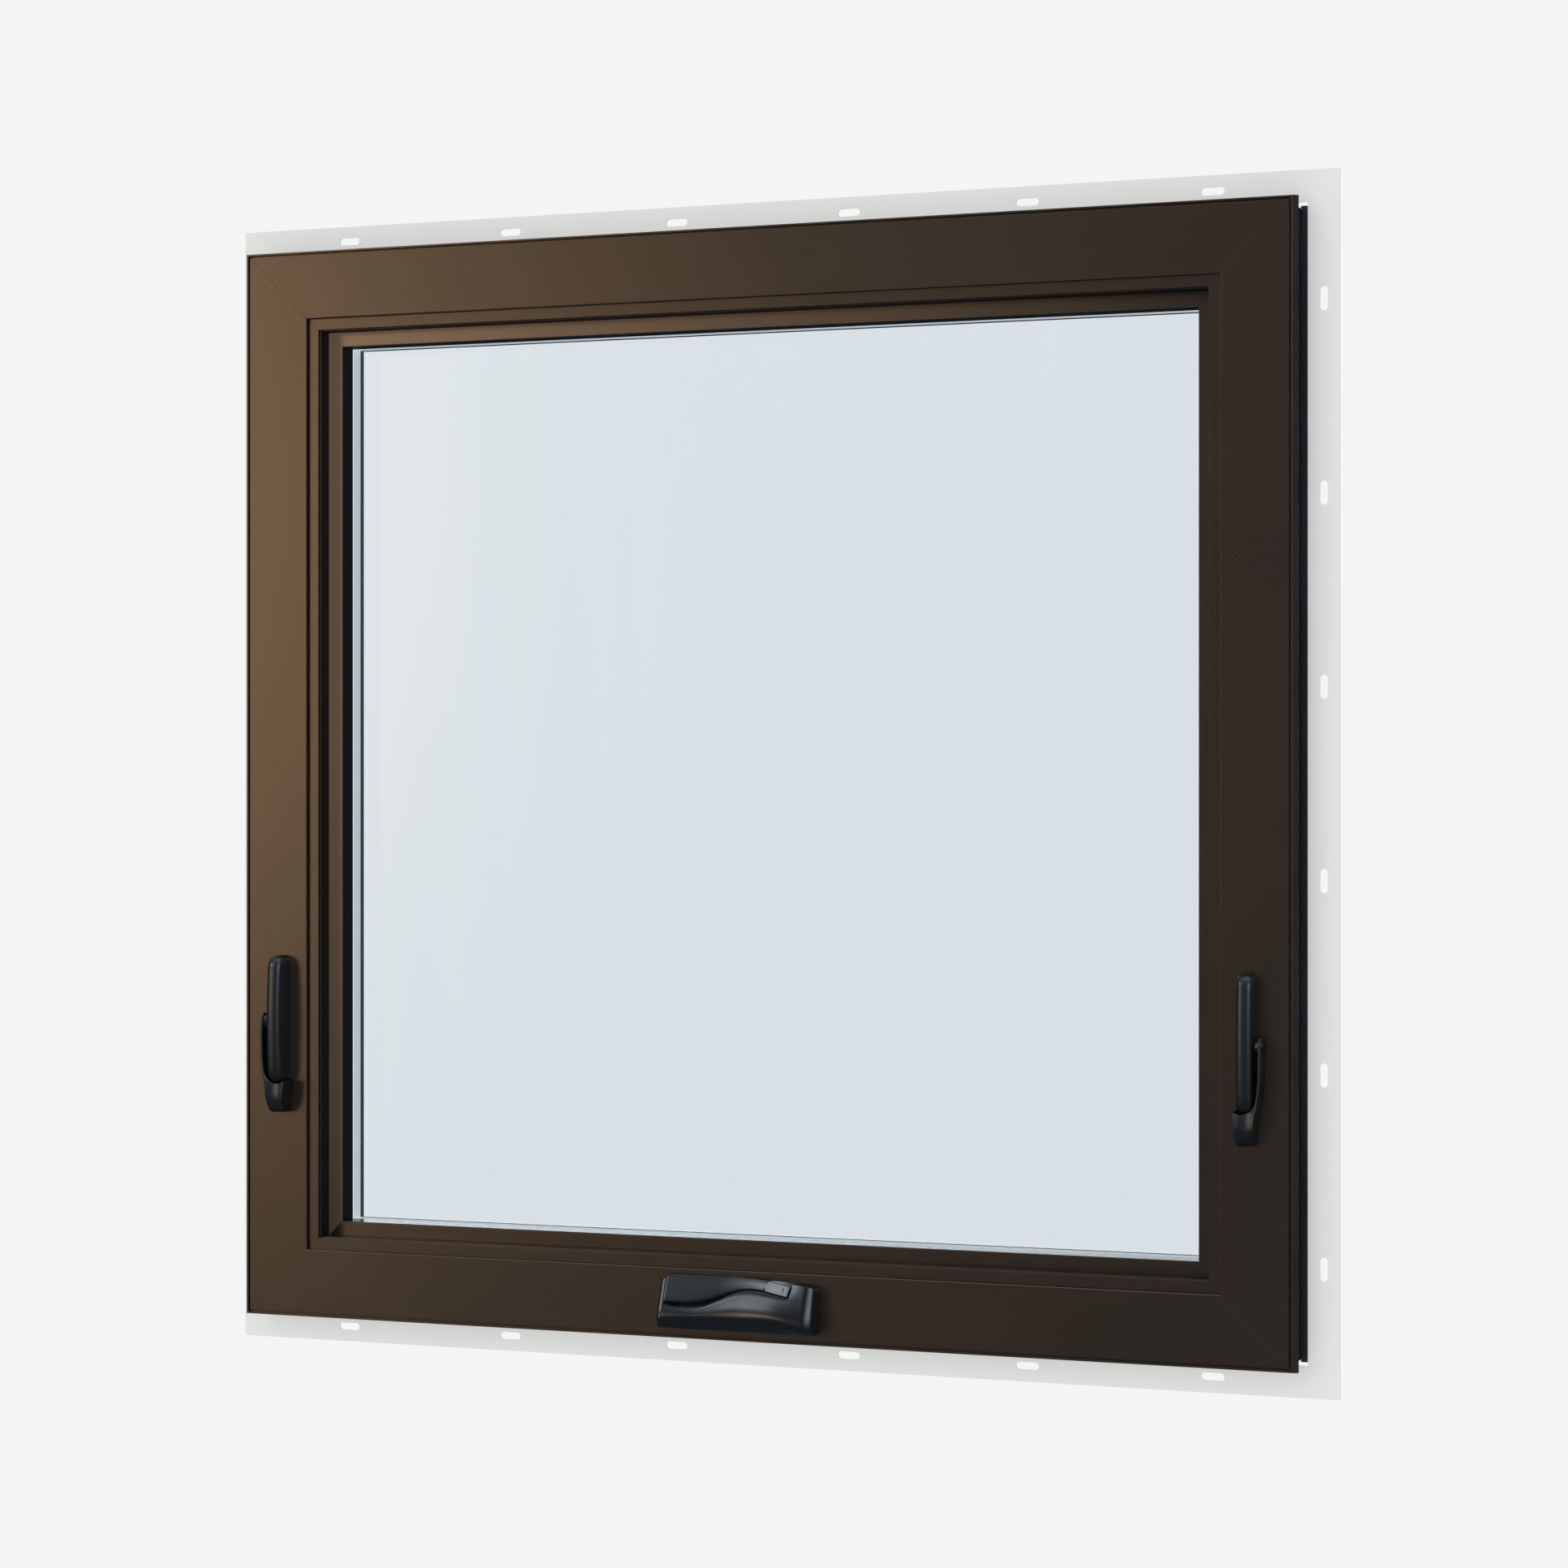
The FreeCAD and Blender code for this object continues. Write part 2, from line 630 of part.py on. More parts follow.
def handle_form(grow, top, low):
    """The handle's outline between two heights over the bowed front."""
    face = Part.Face(Part.Wire(handle_outline(grow)))
    face.translate(OUT_OF_SLOPE * -COVER_HEIGHT)
    return face.extrude(OUT_OF_SLOPE * 2 * COVER_HEIGHT).common(bowed_layer(top, low))


def finger_scoop(low):
    """Room under the handle's lower edge where a fingertip gets behind it."""
    left = on_slope(-SCOOP_LEFT, HANDLE_WIDTH, low)
    deepest = on_slope(-SCOOP_MIDDLE, HANDLE_WIDTH + SCOOP_DEPTH, low)
    right = on_slope(-SCOOP_RIGHT, SCOOP_RIGHT_DROP, low)
    edges = [Part.Arc(left, deepest, right).toShape(), Part.LineSegment(right, left).toShape()]
    return Part.Face(Part.Wire(edges)).extrude(OUT_OF_SLOPE * COVER_HEIGHT)


KNOB_X = -HANDLE_LEFT + KNOB_FROM_LEFT
PIN_X = HUB_LEFT + PIN_FROM_HUB_LEFT * math.cos(TILT)
PIN_N = bow(PIN_X) - PIN_DEPTH
KNUCKLE_DEPTH = PIN_DEPTH + KNUCKLE_RADIUS
ACROSS_HUB = DOWN_SLOPE * math.cos(TILT) - V(math.sin(TILT), 0, 0)


def hub_layer(along_low, along_high, across_low, across_high, top, low):
    """A stretch of the tilted hub, between two heights over the bowed front."""
    corners = [(along_low, across_low), (along_high, across_low)]
    corners += [(along_high, across_high), (along_low, across_high)]
    points = [along_hub(along, across, -COVER_HEIGHT) for along, across in corners]
    return solid_of(points, OUT_OF_SLOPE * 2 * COVER_HEIGHT).common(bowed_layer(top, low))


def across_pin(radius, reach):
    """A cylinder on the fold pin's line, reaching as far to both sides of the hub's middle."""
    start = along_hub(PIN_FROM_HUB_LEFT, -reach, PIN_N)
    return Part.makeCylinder(radius, 2 * reach, start, ACROSS_HUB)


def operator_cover():
    shoulder_x = COVER_RIGHT - SHOULDER_WIDTH
    start = -BOW_START
    sections = [
        cover_section(-COVER_LEFT, 0, COVER_TOP_PROUD, RIDGE_PROUD, RIDGE_DROP),
        cover_section(start, 0, COVER_TOP_PROUD, RIDGE_PROUD, RIDGE_DROP),
    ]
    for share in (0.25, 0.5, 0.75, 1.0):
        sections.append(bowed_section(start + (shoulder_x - start) * share, share))
    sections.append(cover_section(COVER_RIGHT, RIGHT_END_DROP, RIGHT_END_PROUD,
                                  RIGHT_RIDGE_PROUD - BOW_END_DROP, RIGHT_RIDGE_DROP))
    body = Part.makeLoft(sections, True, True)
    floor_n = -HANDLE_THICKNESS - RECESS_GAP
    body = body.cut(handle_form(RECESS_GAP, COVER_HEIGHT, floor_n))
    body = body.cut(finger_scoop(floor_n))
    half = HANDLE_NECK / 2
    hub_room = hub_layer(-2 * RECESS_GAP, HUB_LENGTH + RECESS_GAP, -COVER_HEIGHT, half + RECESS_GAP,
                         COVER_HEIGHT, -HUB_DEPTH)
    body = body.cut(hub_room)
    knob_room = Part.makeCylinder(KNOB_RADIUS + KNOB_GAP, HANDLE_THICKNESS + KNOB_HEIGHT + KNOB_GAP,
                                  on_slope(KNOB_X, KNOB_FROM_TOP, 0), OUT_OF_SLOPE * -1)
    return body.cut(knob_room)


def crank_hub():
    """Forked block at the end of the handle, with the fold pin across the fork."""
    half = HANDLE_NECK / 2
    half_slot = KNUCKLE_WIDTH / 2 + KNUCKLE_GAP
    block = hub_layer(0, HUB_LENGTH, -half, half, 0, -HUB_DEPTH)
    slot = hub_layer(-1, PIN_FROM_HUB_LEFT + FORK_SLOT_BEYOND_PIN, -half_slot, half_slot,
                     1, -KNUCKLE_DEPTH - KNUCKLE_GAP)
    return block.cut(slot).cut(across_pin(CRANK_PIN_RADIUS + SEAT_GAP, HANDLE_NECK))


def crank_handle():
    slab = handle_form(0, 0, -HANDLE_THICKNESS)
    rounded = []
    for edge in slab.Edges:
        middle = edge.valueAt((edge.FirstParameter + edge.LastParameter) / 2) - SLOPE_TOP
        on_outer_face = abs(middle.dot(OUT_OF_SLOPE) - bow(middle.x)) < 0.01
        at_hub = middle.x > HUB_LEFT - HANDLE_NECK / 2 and edge.Length < HANDLE_NECK + 1
        if on_outer_face and not at_hub:
            rounded.append(edge)
    slab = slab.makeFillet(HANDLE_EDGE_RADIUS, rounded)
    half = KNUCKLE_WIDTH / 2
    tongue = hub_layer(-HUB_JOINT_GAP, PIN_FROM_HUB_LEFT, -half, half, 0, -KNUCKLE_DEPTH)
    knuckle = across_pin(KNUCKLE_RADIUS, half)
    bore = across_pin(CRANK_PIN_RADIUS + RUNNING_GAP, KNUCKLE_WIDTH)
    return slab.fuse([tongue, knuckle]).cut(bore).removeSplitter()


def crank_pin():
    return across_pin(CRANK_PIN_RADIUS, HANDLE_NECK / 2)


def crank_knob():
    return Part.makeCylinder(KNOB_RADIUS, KNOB_HEIGHT,
                             on_slope(KNOB_X, KNOB_FROM_TOP, -HANDLE_THICKNESS), OUT_OF_SLOPE * -1)


def export(shape, node):
    shape.exportStep(os.path.join("parts", node + ".step"))


os.makedirs("parts", exist_ok=True)

frame_names = {"head": "frame_head", "sill": "frame_sill", "left": "frame_left_jamb",
               "right": "frame_right_jamb"}
sash_names = {"head": "sash_top_rail", "sill": "sash_bottom_rail", "left": "sash_left_stile",
              "right": "sash_right_stile"}
bead_names = {"head": "bead_top", "sill": "bead_bottom", "left": "bead_left", "right": "bead_right"}

for side in SIDES:
    export(mitred(frame_profile(), side), frame_names[side])
    export(mitred(casing_profile(), side), "casing_" + side)
    export(mitred(stop_profile(), side), "stop_" + side)
    export(straight(clip_profile(), side, clip_setback(side)), "fin_clip_" + side)
    export(nail_fin(side), "nail_fin_" + side)
    export(mitred(sash_profile(), side), sash_names[side])
    export(mitred(bead_profile(), side), bead_names[side])

export(weatherstrip(), "weatherstrip")
export(glazing_gasket(), "glazing_gasket")
export(sheet(GLASS_Q, INNER_PANE_Y, PANE_THICKNESS), "inner_pane")
export(sheet(GLASS_Q, OUTER_PANE_Y, PANE_THICKNESS), "outer_pane")
export(glass_spacer(), "glass_spacer")
export(hinge_stays(), "hinge_stays")

for name, make in (("lock_housing", lock_housing), ("lock_lever", lock_lever), ("lock_pin", lock_pin)):
    piece = make()
    export(piece, "right_" + name)
    export(piece.mirror(V(0, 0, 0), V(1, 0, 0)), "left_" + name)

export(operator_cover(), "operator_cover")
export(crank_hub(), "crank_hub")
export(crank_handle(), "crank_handle")
export(crank_pin(), "crank_pin")
export(crank_knob(), "crank_knob")
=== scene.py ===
import math

import bmesh
import bpy
from mathutils import Matrix, Vector

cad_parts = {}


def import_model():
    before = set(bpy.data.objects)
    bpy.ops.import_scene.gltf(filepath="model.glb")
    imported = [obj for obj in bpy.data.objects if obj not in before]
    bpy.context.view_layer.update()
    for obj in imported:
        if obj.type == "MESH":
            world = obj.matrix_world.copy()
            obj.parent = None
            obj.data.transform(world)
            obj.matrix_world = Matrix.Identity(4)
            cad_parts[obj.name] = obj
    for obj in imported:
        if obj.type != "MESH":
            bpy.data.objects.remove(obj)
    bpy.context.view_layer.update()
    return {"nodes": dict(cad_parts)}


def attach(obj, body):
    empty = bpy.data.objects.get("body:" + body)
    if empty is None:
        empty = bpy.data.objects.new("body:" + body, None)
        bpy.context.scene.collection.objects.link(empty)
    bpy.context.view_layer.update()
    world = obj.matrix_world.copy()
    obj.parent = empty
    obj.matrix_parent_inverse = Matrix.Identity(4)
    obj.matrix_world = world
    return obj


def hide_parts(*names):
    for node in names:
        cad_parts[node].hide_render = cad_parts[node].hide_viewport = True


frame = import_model()

# Sizes are in metres: X runs right seen from the room, Y outdoors and Z up.

MM = 0.001


def paint(red, green, blue):
    """A colour read off a screen, 0 to 255, as the linear light that a shader takes."""
    light = []
    for part in (red, green, blue):
        share = part / 255
        light.append(share / 12.92 if share <= 0.04045 else ((share + 0.055) / 1.055) ** 2.4)
    return (light[0], light[1], light[2], 1.0)


class Value:
    """A socket in a node tree. Sums written with it add Math nodes."""

    def __init__(self, sheet, socket):
        self.sheet = sheet
        self.socket = socket

    def math(self, operation, first, second):
        return self.sheet.math_of(operation, first, second)

    def __add__(self, other):
        return self.math("ADD", self, other)

    def __radd__(self, other):
        return self.math("ADD", other, self)

    def __sub__(self, other):
        return self.math("SUBTRACT", self, other)

    def __rsub__(self, other):
        return self.math("SUBTRACT", other, self)

    def __mul__(self, other):
        return self.math("MULTIPLY", self, other)

    def __rmul__(self, other):
        return self.math("MULTIPLY", other, self)

    def __pow__(self, other):
        return self.math("POWER", self, other)

    def at_least(self, other):
        return self.math("MAXIMUM", self, other)

    def size(self):
        return self.math("ABSOLUTE", self, 0.0)


class Sheet:
    """The node tree of one finish, or of the world."""

    def __init__(self, owner):
        owner.use_nodes = True
        self.owner = owner
        self.tree = owner.node_tree
        self.tree.nodes.clear()

    def node(self, kind, settings=None, inputs=None, output=0):
        made = self.tree.nodes.new(kind)
        for name, setting in (settings or {}).items():
            if name == "stops":
                ramp = made.color_ramp
                while len(ramp.elements) < len(setting):
                    ramp.elements.new(0.5)
                for stop, (place, tone) in zip(ramp.elements, setting):
                    stop.position = place
                    stop.color = (tone, tone, tone, 1.0)
            else:
                setattr(made, name, setting)
        for name, given in (inputs or {}).items():
            if isinstance(given, Value):
                self.tree.links.new(given.socket, made.inputs[name])
            else:
                made.inputs[name].default_value = given
        return Value(self, made.outputs[output]) if made.outputs else None

    def part(self, vector, name):
        """The X, Y or Z part of a vector."""
        split = self.node("ShaderNodeSeparateXYZ", None, {0: vector})
        return Value(self, split.socket.node.outputs[name])

    def ray(self, name):
        """What the light path says of the ray that meets this surface."""
        path = self.node("ShaderNodeLightPath")
        return Value(self, path.socket.node.outputs[name])

    def to_the_eye(self):
        """1 where the eye sees this straight or through clear glass."""
        glazed = (1 - self.ray("Glossy Depth")).at_least(0.0) * self.ray("Is Transmission Ray")
        return self.ray("Is Camera Ray").at_least(glazed)

    def mirrored(self):
        """1 where a glossy surface shows this."""
        return self.math_of("MINIMUM", self.ray("Glossy Depth"), 1.0)

    def math_of(self, operation, first, second):
        return self.node("ShaderNodeMath", {"operation": operation}, {0: first, 1: second})

    def between(self, share, low, high):
        """A colour that goes from low to high with share."""
        return self.node("ShaderNodeMix", {"data_type": "RGBA"}, {0: share, 6: low, 7: high}, 2)

    def ramp(self, value, *stops):
        """A value bent through (place, tone) stops."""
        return self.node("ShaderNodeValToRGB", {"stops": stops}, {"Fac": value})

    def place(self, scale=(1.0, 1.0, 1.0)):
        """Object coordinates, stretched by scale."""
        at = self.node("ShaderNodeTexCoord", output=3)
        return self.node("ShaderNodeMapping", None, {"Vector": at, "Scale": scale})

    def noise(self, at, scale, detail=2.0):
        sockets = {"Vector": at, "Scale": scale, "Detail": detail}
        return self.node("ShaderNodeTexNoise", None, sockets)

    def bump(self, height, depth, strength=1.0, under=None):
        """A surface normal from a height of 0 to 1, depth metres deep."""
        sockets = {"Height": height, "Distance": depth, "Strength": strength}
        if under:
            sockets["Normal"] = under
        return self.node("ShaderNodeBump", None, sockets)

    def surface(self, **sockets):
        given = {name.replace("_", " "): value for name, value in sockets.items()}
        shader = self.node("ShaderNodeBsdfPrincipled", None, given)
        self.node("ShaderNodeOutputMaterial", None, {"Surface": shader})
        return self.owner


def finish(name):
    return Sheet(bpy.data.materials.new(name))


# Finishes

ALONG_X = (4.0, 700.0, 700.0)
ALONG_Z = (700.0, 700.0, 4.0)


def bronze(name, along, recessed=False):
    """Dark bronze anodised aluminium: warm metal under a thin clear film, with faint draw lines.

    The narrow returns on the room side, which face sideways, up or down, are painted a bluish black
    as shade. Those that face up have the thicker film and shine. A recessed member has a painted warm
    glow, most at its left and upper part, in place of the reflected light that the casing's walls keep from
    it.
    """
    sheet = finish(name)
    at = sheet.place()
    cloud = sheet.noise(at, 7.0, 3.0)
    lines = sheet.noise(sheet.place(along), 1.0, 2.0)
    grain = sheet.noise(at, 2600.0, 1.0)
    warm = sheet.between(cloud * 0.6 + lines * 0.4, paint(106, 89, 75), paint(116, 98, 82))
    normal = sheet.node("ShaderNodeNewGeometry", output=1)
    facing = sheet.part(normal, "Y").size()
    upward = sheet.ramp(sheet.part(normal, "Z"), (0.5, 0.0), (0.9, 1.0))
    outdoors = sheet.part(at, "Y") * 250.0
    # Painted shade: faces that turn neither to the room nor outdoors get a bluish black, non-metallic colour
    # in place of the shade on them.
    face = sheet.ramp(facing.at_least(outdoors), (0.45, 0.0), (0.85, 1.0))
    colour = sheet.between(face, paint(29, 30, 32), warm)
    roughness = 0.24 + cloud * 0.05 + grain * 0.04 + (1 - face) * 0.2
    glow = (0.0, 0.0, 0.0, 1.0)
    # Painted light: the recessed sash glows warm of its own, most at its left and top, in place of the
    # casing's reflection that its walls block.
    if recessed:
        leftward = sheet.ramp(0.5 - sheet.part(at, "X"), (0.12, 0.0), (0.95, 1.0))
        high_up = sheet.ramp(sheet.part(at, "Z"), (0.05, 0.35), (0.5, 1.0))
        room_side = sheet.ramp(0 - sheet.part(normal, "Y"), (0.45, 0.0), (0.85, 1.0))
        glow = sheet.between(leftward * high_up * room_side, glow, paint(90, 73, 57))
    eased = sheet.node("ShaderNodeBevel", {"samples": 4}, {"Radius": 0.0007})
    fine = sheet.bump(grain, 0.00001, 0.5, eased)
    drawn = sheet.bump(lines, 0.00001, 0.35, fine)
    return sheet.surface(Base_Color=colour, Metallic=face * 0.95, Roughness=roughness, Normal=drawn,
                         IOR=1.12, Coat_Weight=(face * 0.25).at_least(upward), Coat_Roughness=0.25,
                         Emission_Color=glow, Emission_Strength=1.0)


def fin_vinyl(name, along):
    """Pale grey vinyl of the nailing fin, with faint extrusion lines, a little soiling and a painted even
    glow that flattens the casing's shade on it.
    """
    sheet = finish(name)
    at = sheet.place()
    lines = sheet.noise(sheet.place(along), 1.0, 1.0)
    cloud = sheet.noise(at, 11.0, 4.0)
    colour = sheet.between(cloud * 0.7 + lines * 0.3, paint(168, 169, 168), paint(176, 176, 175))
    surface_bump = sheet.bump(lines + cloud * 0.5, 0.00002, 0.3)
    # Painted light: the fin glows an even grey of its own, which flattens the shade that the casing casts on
    # it.
    return sheet.surface(Base_Color=colour, Roughness=0.5 + cloud * 0.12, Normal=surface_bump,
                         Emission_Color=paint(205, 205, 204), Emission_Strength=0.55)


def rubber(name):
    """Black seal rubber with fine pores."""
    sheet = finish(name)
    at = sheet.place()
    cloud = sheet.noise(at, 60.0, 3.0)
    pores = sheet.noise(at, 1900.0, 2.0)
    colour = sheet.between(cloud, paint(22, 22, 23), paint(34, 34, 35))
    return sheet.surface(Base_Color=colour, Roughness=0.62 + pores * 0.2,
                         Normal=sheet.bump(pores, 0.00002, 0.5))


def satin_black(name, rough):
    """Smooth satin black coating of the locks and the crank."""
    sheet = finish(name)
    at = sheet.place()
    orange_peel = sheet.noise(at, 900.0, 2.0)
    cloud = sheet.noise(at, 45.0, 3.0)
    colour = sheet.between(cloud, paint(9, 10, 11), paint(15, 16, 17))
    roughness = rough + orange_peel * 0.04 + cloud * 0.04
    return sheet.surface(Base_Color=colour, Roughness=roughness, IOR=1.75,
                         Normal=sheet.bump(orange_peel, 0.00001, 0.3))


def clip_black(name):
    """Dark mill finish of the rail behind the casing."""
    sheet = finish(name)
    at = sheet.place()
    cloud = sheet.noise(at, 18.0, 3.0)
    colour = sheet.between(cloud, paint(40, 43, 48), paint(54, 58, 64))
    return sheet.surface(Base_Color=colour, Metallic=0.3, Roughness=0.38 + cloud * 0.1,
                         Normal=sheet.bump(cloud, 0.00003, 0.3))


def bare_metal(name, dark, light, rough):
    """Drawn metal with fine lines, for the stays and the pins."""
    sheet = finish(name)
    at = sheet.place()
    lines = sheet.noise(sheet.place((30.0, 900.0, 30.0)), 1.0, 2.0)
    cloud = sheet.noise(at, 40.0, 3.0)
    colour = sheet.between(lines * 0.6 + cloud * 0.4, dark, light)
    return sheet.surface(Base_Color=colour, Metallic=1.0, Roughness=rough + lines * 0.12,
                         Normal=sheet.bump(lines, 0.00001, 0.4))


def pale_spacer(name):
    """Pale matt strip that keeps the two panes apart, with a painted glow in place of the light that the
    glass keeps out of its cavity.
    """
    sheet = finish(name)
    at = sheet.place()
    cloud = sheet.noise(at, 25.0, 3.0)
    colour = sheet.between(cloud, paint(234, 239, 241), paint(240, 244, 246))
    # Painted light: the spacer glows pale of its own in place of the light that doesn't reach it between the
    # panes.
    return sheet.surface(Base_Color=colour, Roughness=0.7 + cloud * 0.1,
                         Emission_Color=paint(205, 212, 215), Emission_Strength=0.45,
                         Normal=sheet.bump(cloud, 0.00002, 0.3))


def clear_glass(name):
    """Float glass with its faint draw distortion and a little cool tint."""
    sheet = finish(name)
    waves = sheet.noise(sheet.place((26.0, 1.0, 1.2)), 1.0, 2.0)
    colour = sheet.between(waves, paint(246, 250, 254), paint(248, 252, 255))
    return sheet.surface(Base_Color=colour, Roughness=0.0, Transmission_Weight=1.0, IOR=1.46,
                         Normal=sheet.bump(waves, 0.00004, 0.2))


casing_across = bronze("casing_bronze_across", ALONG_X)
casing_upright = bronze("casing_bronze_upright", ALONG_Z)
sash_across = bronze("sash_bronze_across", ALONG_X, recessed=True)
sash_upright = bronze("sash_bronze_upright", ALONG_Z, recessed=True)
fin_across = fin_vinyl("fin_grey_across", ALONG_X)
fin_upright = fin_vinyl("fin_grey_upright", ALONG_Z)
black_hardware = satin_black("black_hardware", 0.3)
crank_black = satin_black("crank_black", 0.19)
seal_rubber = rubber("seal_rubber")
clip_rail = clip_black("clip_rail")
pane_glass = clear_glass("clear_glass")
stay_steel = bare_metal("stay_steel", paint(120, 122, 125), paint(165, 167, 170), 0.32)
spacer_metal = pale_spacer("spacer_metal")
pin_steel = bare_metal("pin_steel", paint(60, 61, 63), paint(90, 92, 95), 0.35)


def dress(node, material):
    """Gives a carried-over node its finish."""
    mesh = frame["nodes"][node].data
    mesh.materials.clear()
    mesh.materials.append(material)


ACROSS = ("frame_head", "frame_sill", "casing_head", "casing_sill", "stop_head", "stop_sill",
          "sash_bottom_rail", "bead_top", "bead_bottom")
UPRIGHT = ("frame_left_jamb", "frame_right_jamb", "casing_left", "casing_right", "stop_left",
           "stop_right", "sash_right_stile", "bead_left", "bead_right")
LOCKS = ("left_lock_housing", "left_lock_lever", "right_lock_housing", "right_lock_lever")
CRANK = ("operator_cover", "crank_hub", "crank_handle", "crank_knob")

for node in ACROSS:
    dress(node, casing_across)
for node in UPRIGHT:
    dress(node, casing_upright)
dress("sash_top_rail", sash_across)
dress("sash_left_stile", sash_upright)
for node in LOCKS:
    dress(node, black_hardware)
for node in CRANK:
    dress(node, crank_black)
for side in ("head", "sill", "left", "right"):
    dress("fin_clip_" + side, clip_rail)
    dress("nail_fin_" + side, fin_across if side in ("head", "sill") else fin_upright)
for node in ("weatherstrip", "glazing_gasket"):
    dress(node, seal_rubber)
for node in ("inner_pane", "outer_pane"):
    dress(node, pane_glass)
for node in ("left_lock_pin", "right_lock_pin", "crank_pin"):
    dress(node, pin_steel)
dress("glass_spacer", spacer_metal)
dress("hinge_stays", stay_steel)


# Hardware. Lengths in this section are in millimetres, as the CAD's are, until put() places a point.

FACE = -47.6


def put(x, proud, z):
    """A point so far out of the casing's face, towards the room, in metres."""
    return Vector((x, FACE - proud, z)) * MM


def through(x, *points):
    """The height at x of a smooth curve through (x, height) points."""
    if x <= points[0][0]:
        return points[0][1]
    if x >= points[-1][0]:
        return points[-1][1]
    last = len(points) - 1
    here = max(i for i in range(last) if points[i][0] <= x)

    def slope(i):
        low, high = max(i - 1, 0), min(i + 1, last)
        return (points[high][1] - points[low][1]) / (points[high][0] - points[low][0])

    (x_low, low), (x_high, high) = points[here], points[here + 1]
    run = x_high - x_low
    s = (x - x_low) / run
    start, end = slope(here) * run, slope(here + 1) * run
    rise = high - low
    return low + s * (start + s * ((3 * rise - 2 * start - end) + s * (start + end - 2 * rise)))


def rounding(gap, radius):
    """How far a rounded edge falls away at a gap from its end."""
    if gap >= radius:
        return 0.0
    return radius - math.sqrt(max(radius ** 2 - (radius - gap) ** 2, 0.0))


def blend(value, low, high):
    """0 at low and 1 at high, with an easy start and end."""
    share = min(max((value - low) / (high - low), 0.0), 1.0)
    return share * share * (3 - 2 * share)


def next_ring(mesh, ring):
    """Extrudes a closed ring of points and gives the new ring in the same order."""
    edges = [mesh.edges.get((ring[i - 1], ring[i])) for i in range(len(ring))]
    grown = set(bmesh.ops.extrude_edge_only(mesh, edges=edges)["geom"])
    return [next(e.other_vert(v) for e in v.link_edges if e.other_vert(v) in grown) for v in ring]


def drawn_out(mesh, count, levels, shape):
    """A closed body drawn ring by ring; shape(index, level) places each point of a ring."""
    ring = bmesh.ops.create_circle(mesh, segments=count, radius=1.0)["verts"]
    for step, level in enumerate(levels):
        if step:
            ring = next_ring(mesh, ring)
        else:
            bmesh.ops.contextual_create(mesh, geom=ring)
        for index, point in enumerate(ring):
            point.co = shape(index, level)
    bmesh.ops.contextual_create(mesh, geom=ring)


def draped(mesh, columns, rows, place):
    """A sheet of columns by rows; place(column, row) puts each point."""
    sheet = bmesh.ops.create_grid(mesh, x_segments=columns - 1, y_segments=rows - 1, size=1.0)
    for index, point in enumerate(sheet["verts"]):
        point.co = place(index % columns, index // columns)


def settled(name, mesh, body, material, node, sharp=50):
    """Turns a finished mesh into a piece that rides on a body and stands for its node."""
    bmesh.ops.remove_doubles(mesh, verts=mesh.verts, dist=0.000002)
    bmesh.ops.recalc_face_normals(mesh, faces=mesh.faces)
    for face in mesh.faces:
        face.smooth = True
    data = bpy.data.meshes.new(name)
    mesh.to_mesh(data)
    mesh.free()
    data.set_sharp_from_angle(angle=math.radians(sharp))
    data.materials.append(material)
    piece = bpy.data.objects.new(name, data)
    bpy.context.scene.collection.objects.link(piece)
    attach(piece, body)
    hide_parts(node)


def to_side(mesh, side):
    """Turns what was drawn on the right jamb to the left one for side -1."""
    if side < 0:
        bmesh.ops.scale(mesh, vec=(-1.0, 1.0, 1.0), verts=mesh.verts)


# Sash locks

LOCK_X = 420.4
LOCK_LOW = 212.9
LOCK_HIGH = 323.4
LOCK_HALF_WIDTH = 7.0
LOCK_END_DEPTH = 15.7
LOCK_BOW = 3.0
PIVOT_PROUD = 9.2
PIVOT_Z = 266.7
EYE_RADIUS = 7.7
LEVER_OUT = 433.4
LEVER_FOOT = 189.3
LEVER_BACK = 1.5
TAB_LEFT = 410.8
TAB_LEFT_AT_FOOT = 413.65
TAB_TOP = 216.0


def soft_section(half, depth, radius, crown):
    """(across, proud) round a section, from the wall over its front to the wall.

    The front's corners are rounded by radius and its middle stands out by crown, or sinks.
    """
    radius = min(radius, half * 0.95, depth * 0.95)
    flat = half - radius
    right = [(half, 0.0), (half, (depth - radius) * 0.5)]
    for step in range(7):
        turn = math.radians(15 * step)
        right.append((flat + radius * math.cos(turn), depth - radius + radius * math.sin(turn)))
    right += [(flat * share, depth) for share in (0.75, 0.5, 0.25)]
    right = [(x, p + crown * max(0.0, 1 - (x / half) ** 2) * (p / depth) ** 4) for x, p in right]
    left = [(-x, p) for x, p in reversed(right)]
    return right + [(0.0, depth + crown)] + left


SECTION_POINTS = 25


def lathed(mesh, outline):
    """Turns (radius, x) points about the lever's pivot."""
    def shape(index, level):
        radius, x = level
        radius = max(radius, 0.01)
        turn = math.radians(15 * index)
        return put(x, PIVOT_PROUD + radius * math.cos(turn), PIVOT_Z + radius * math.sin(turn))

    drawn_out(mesh, 24, outline, shape)


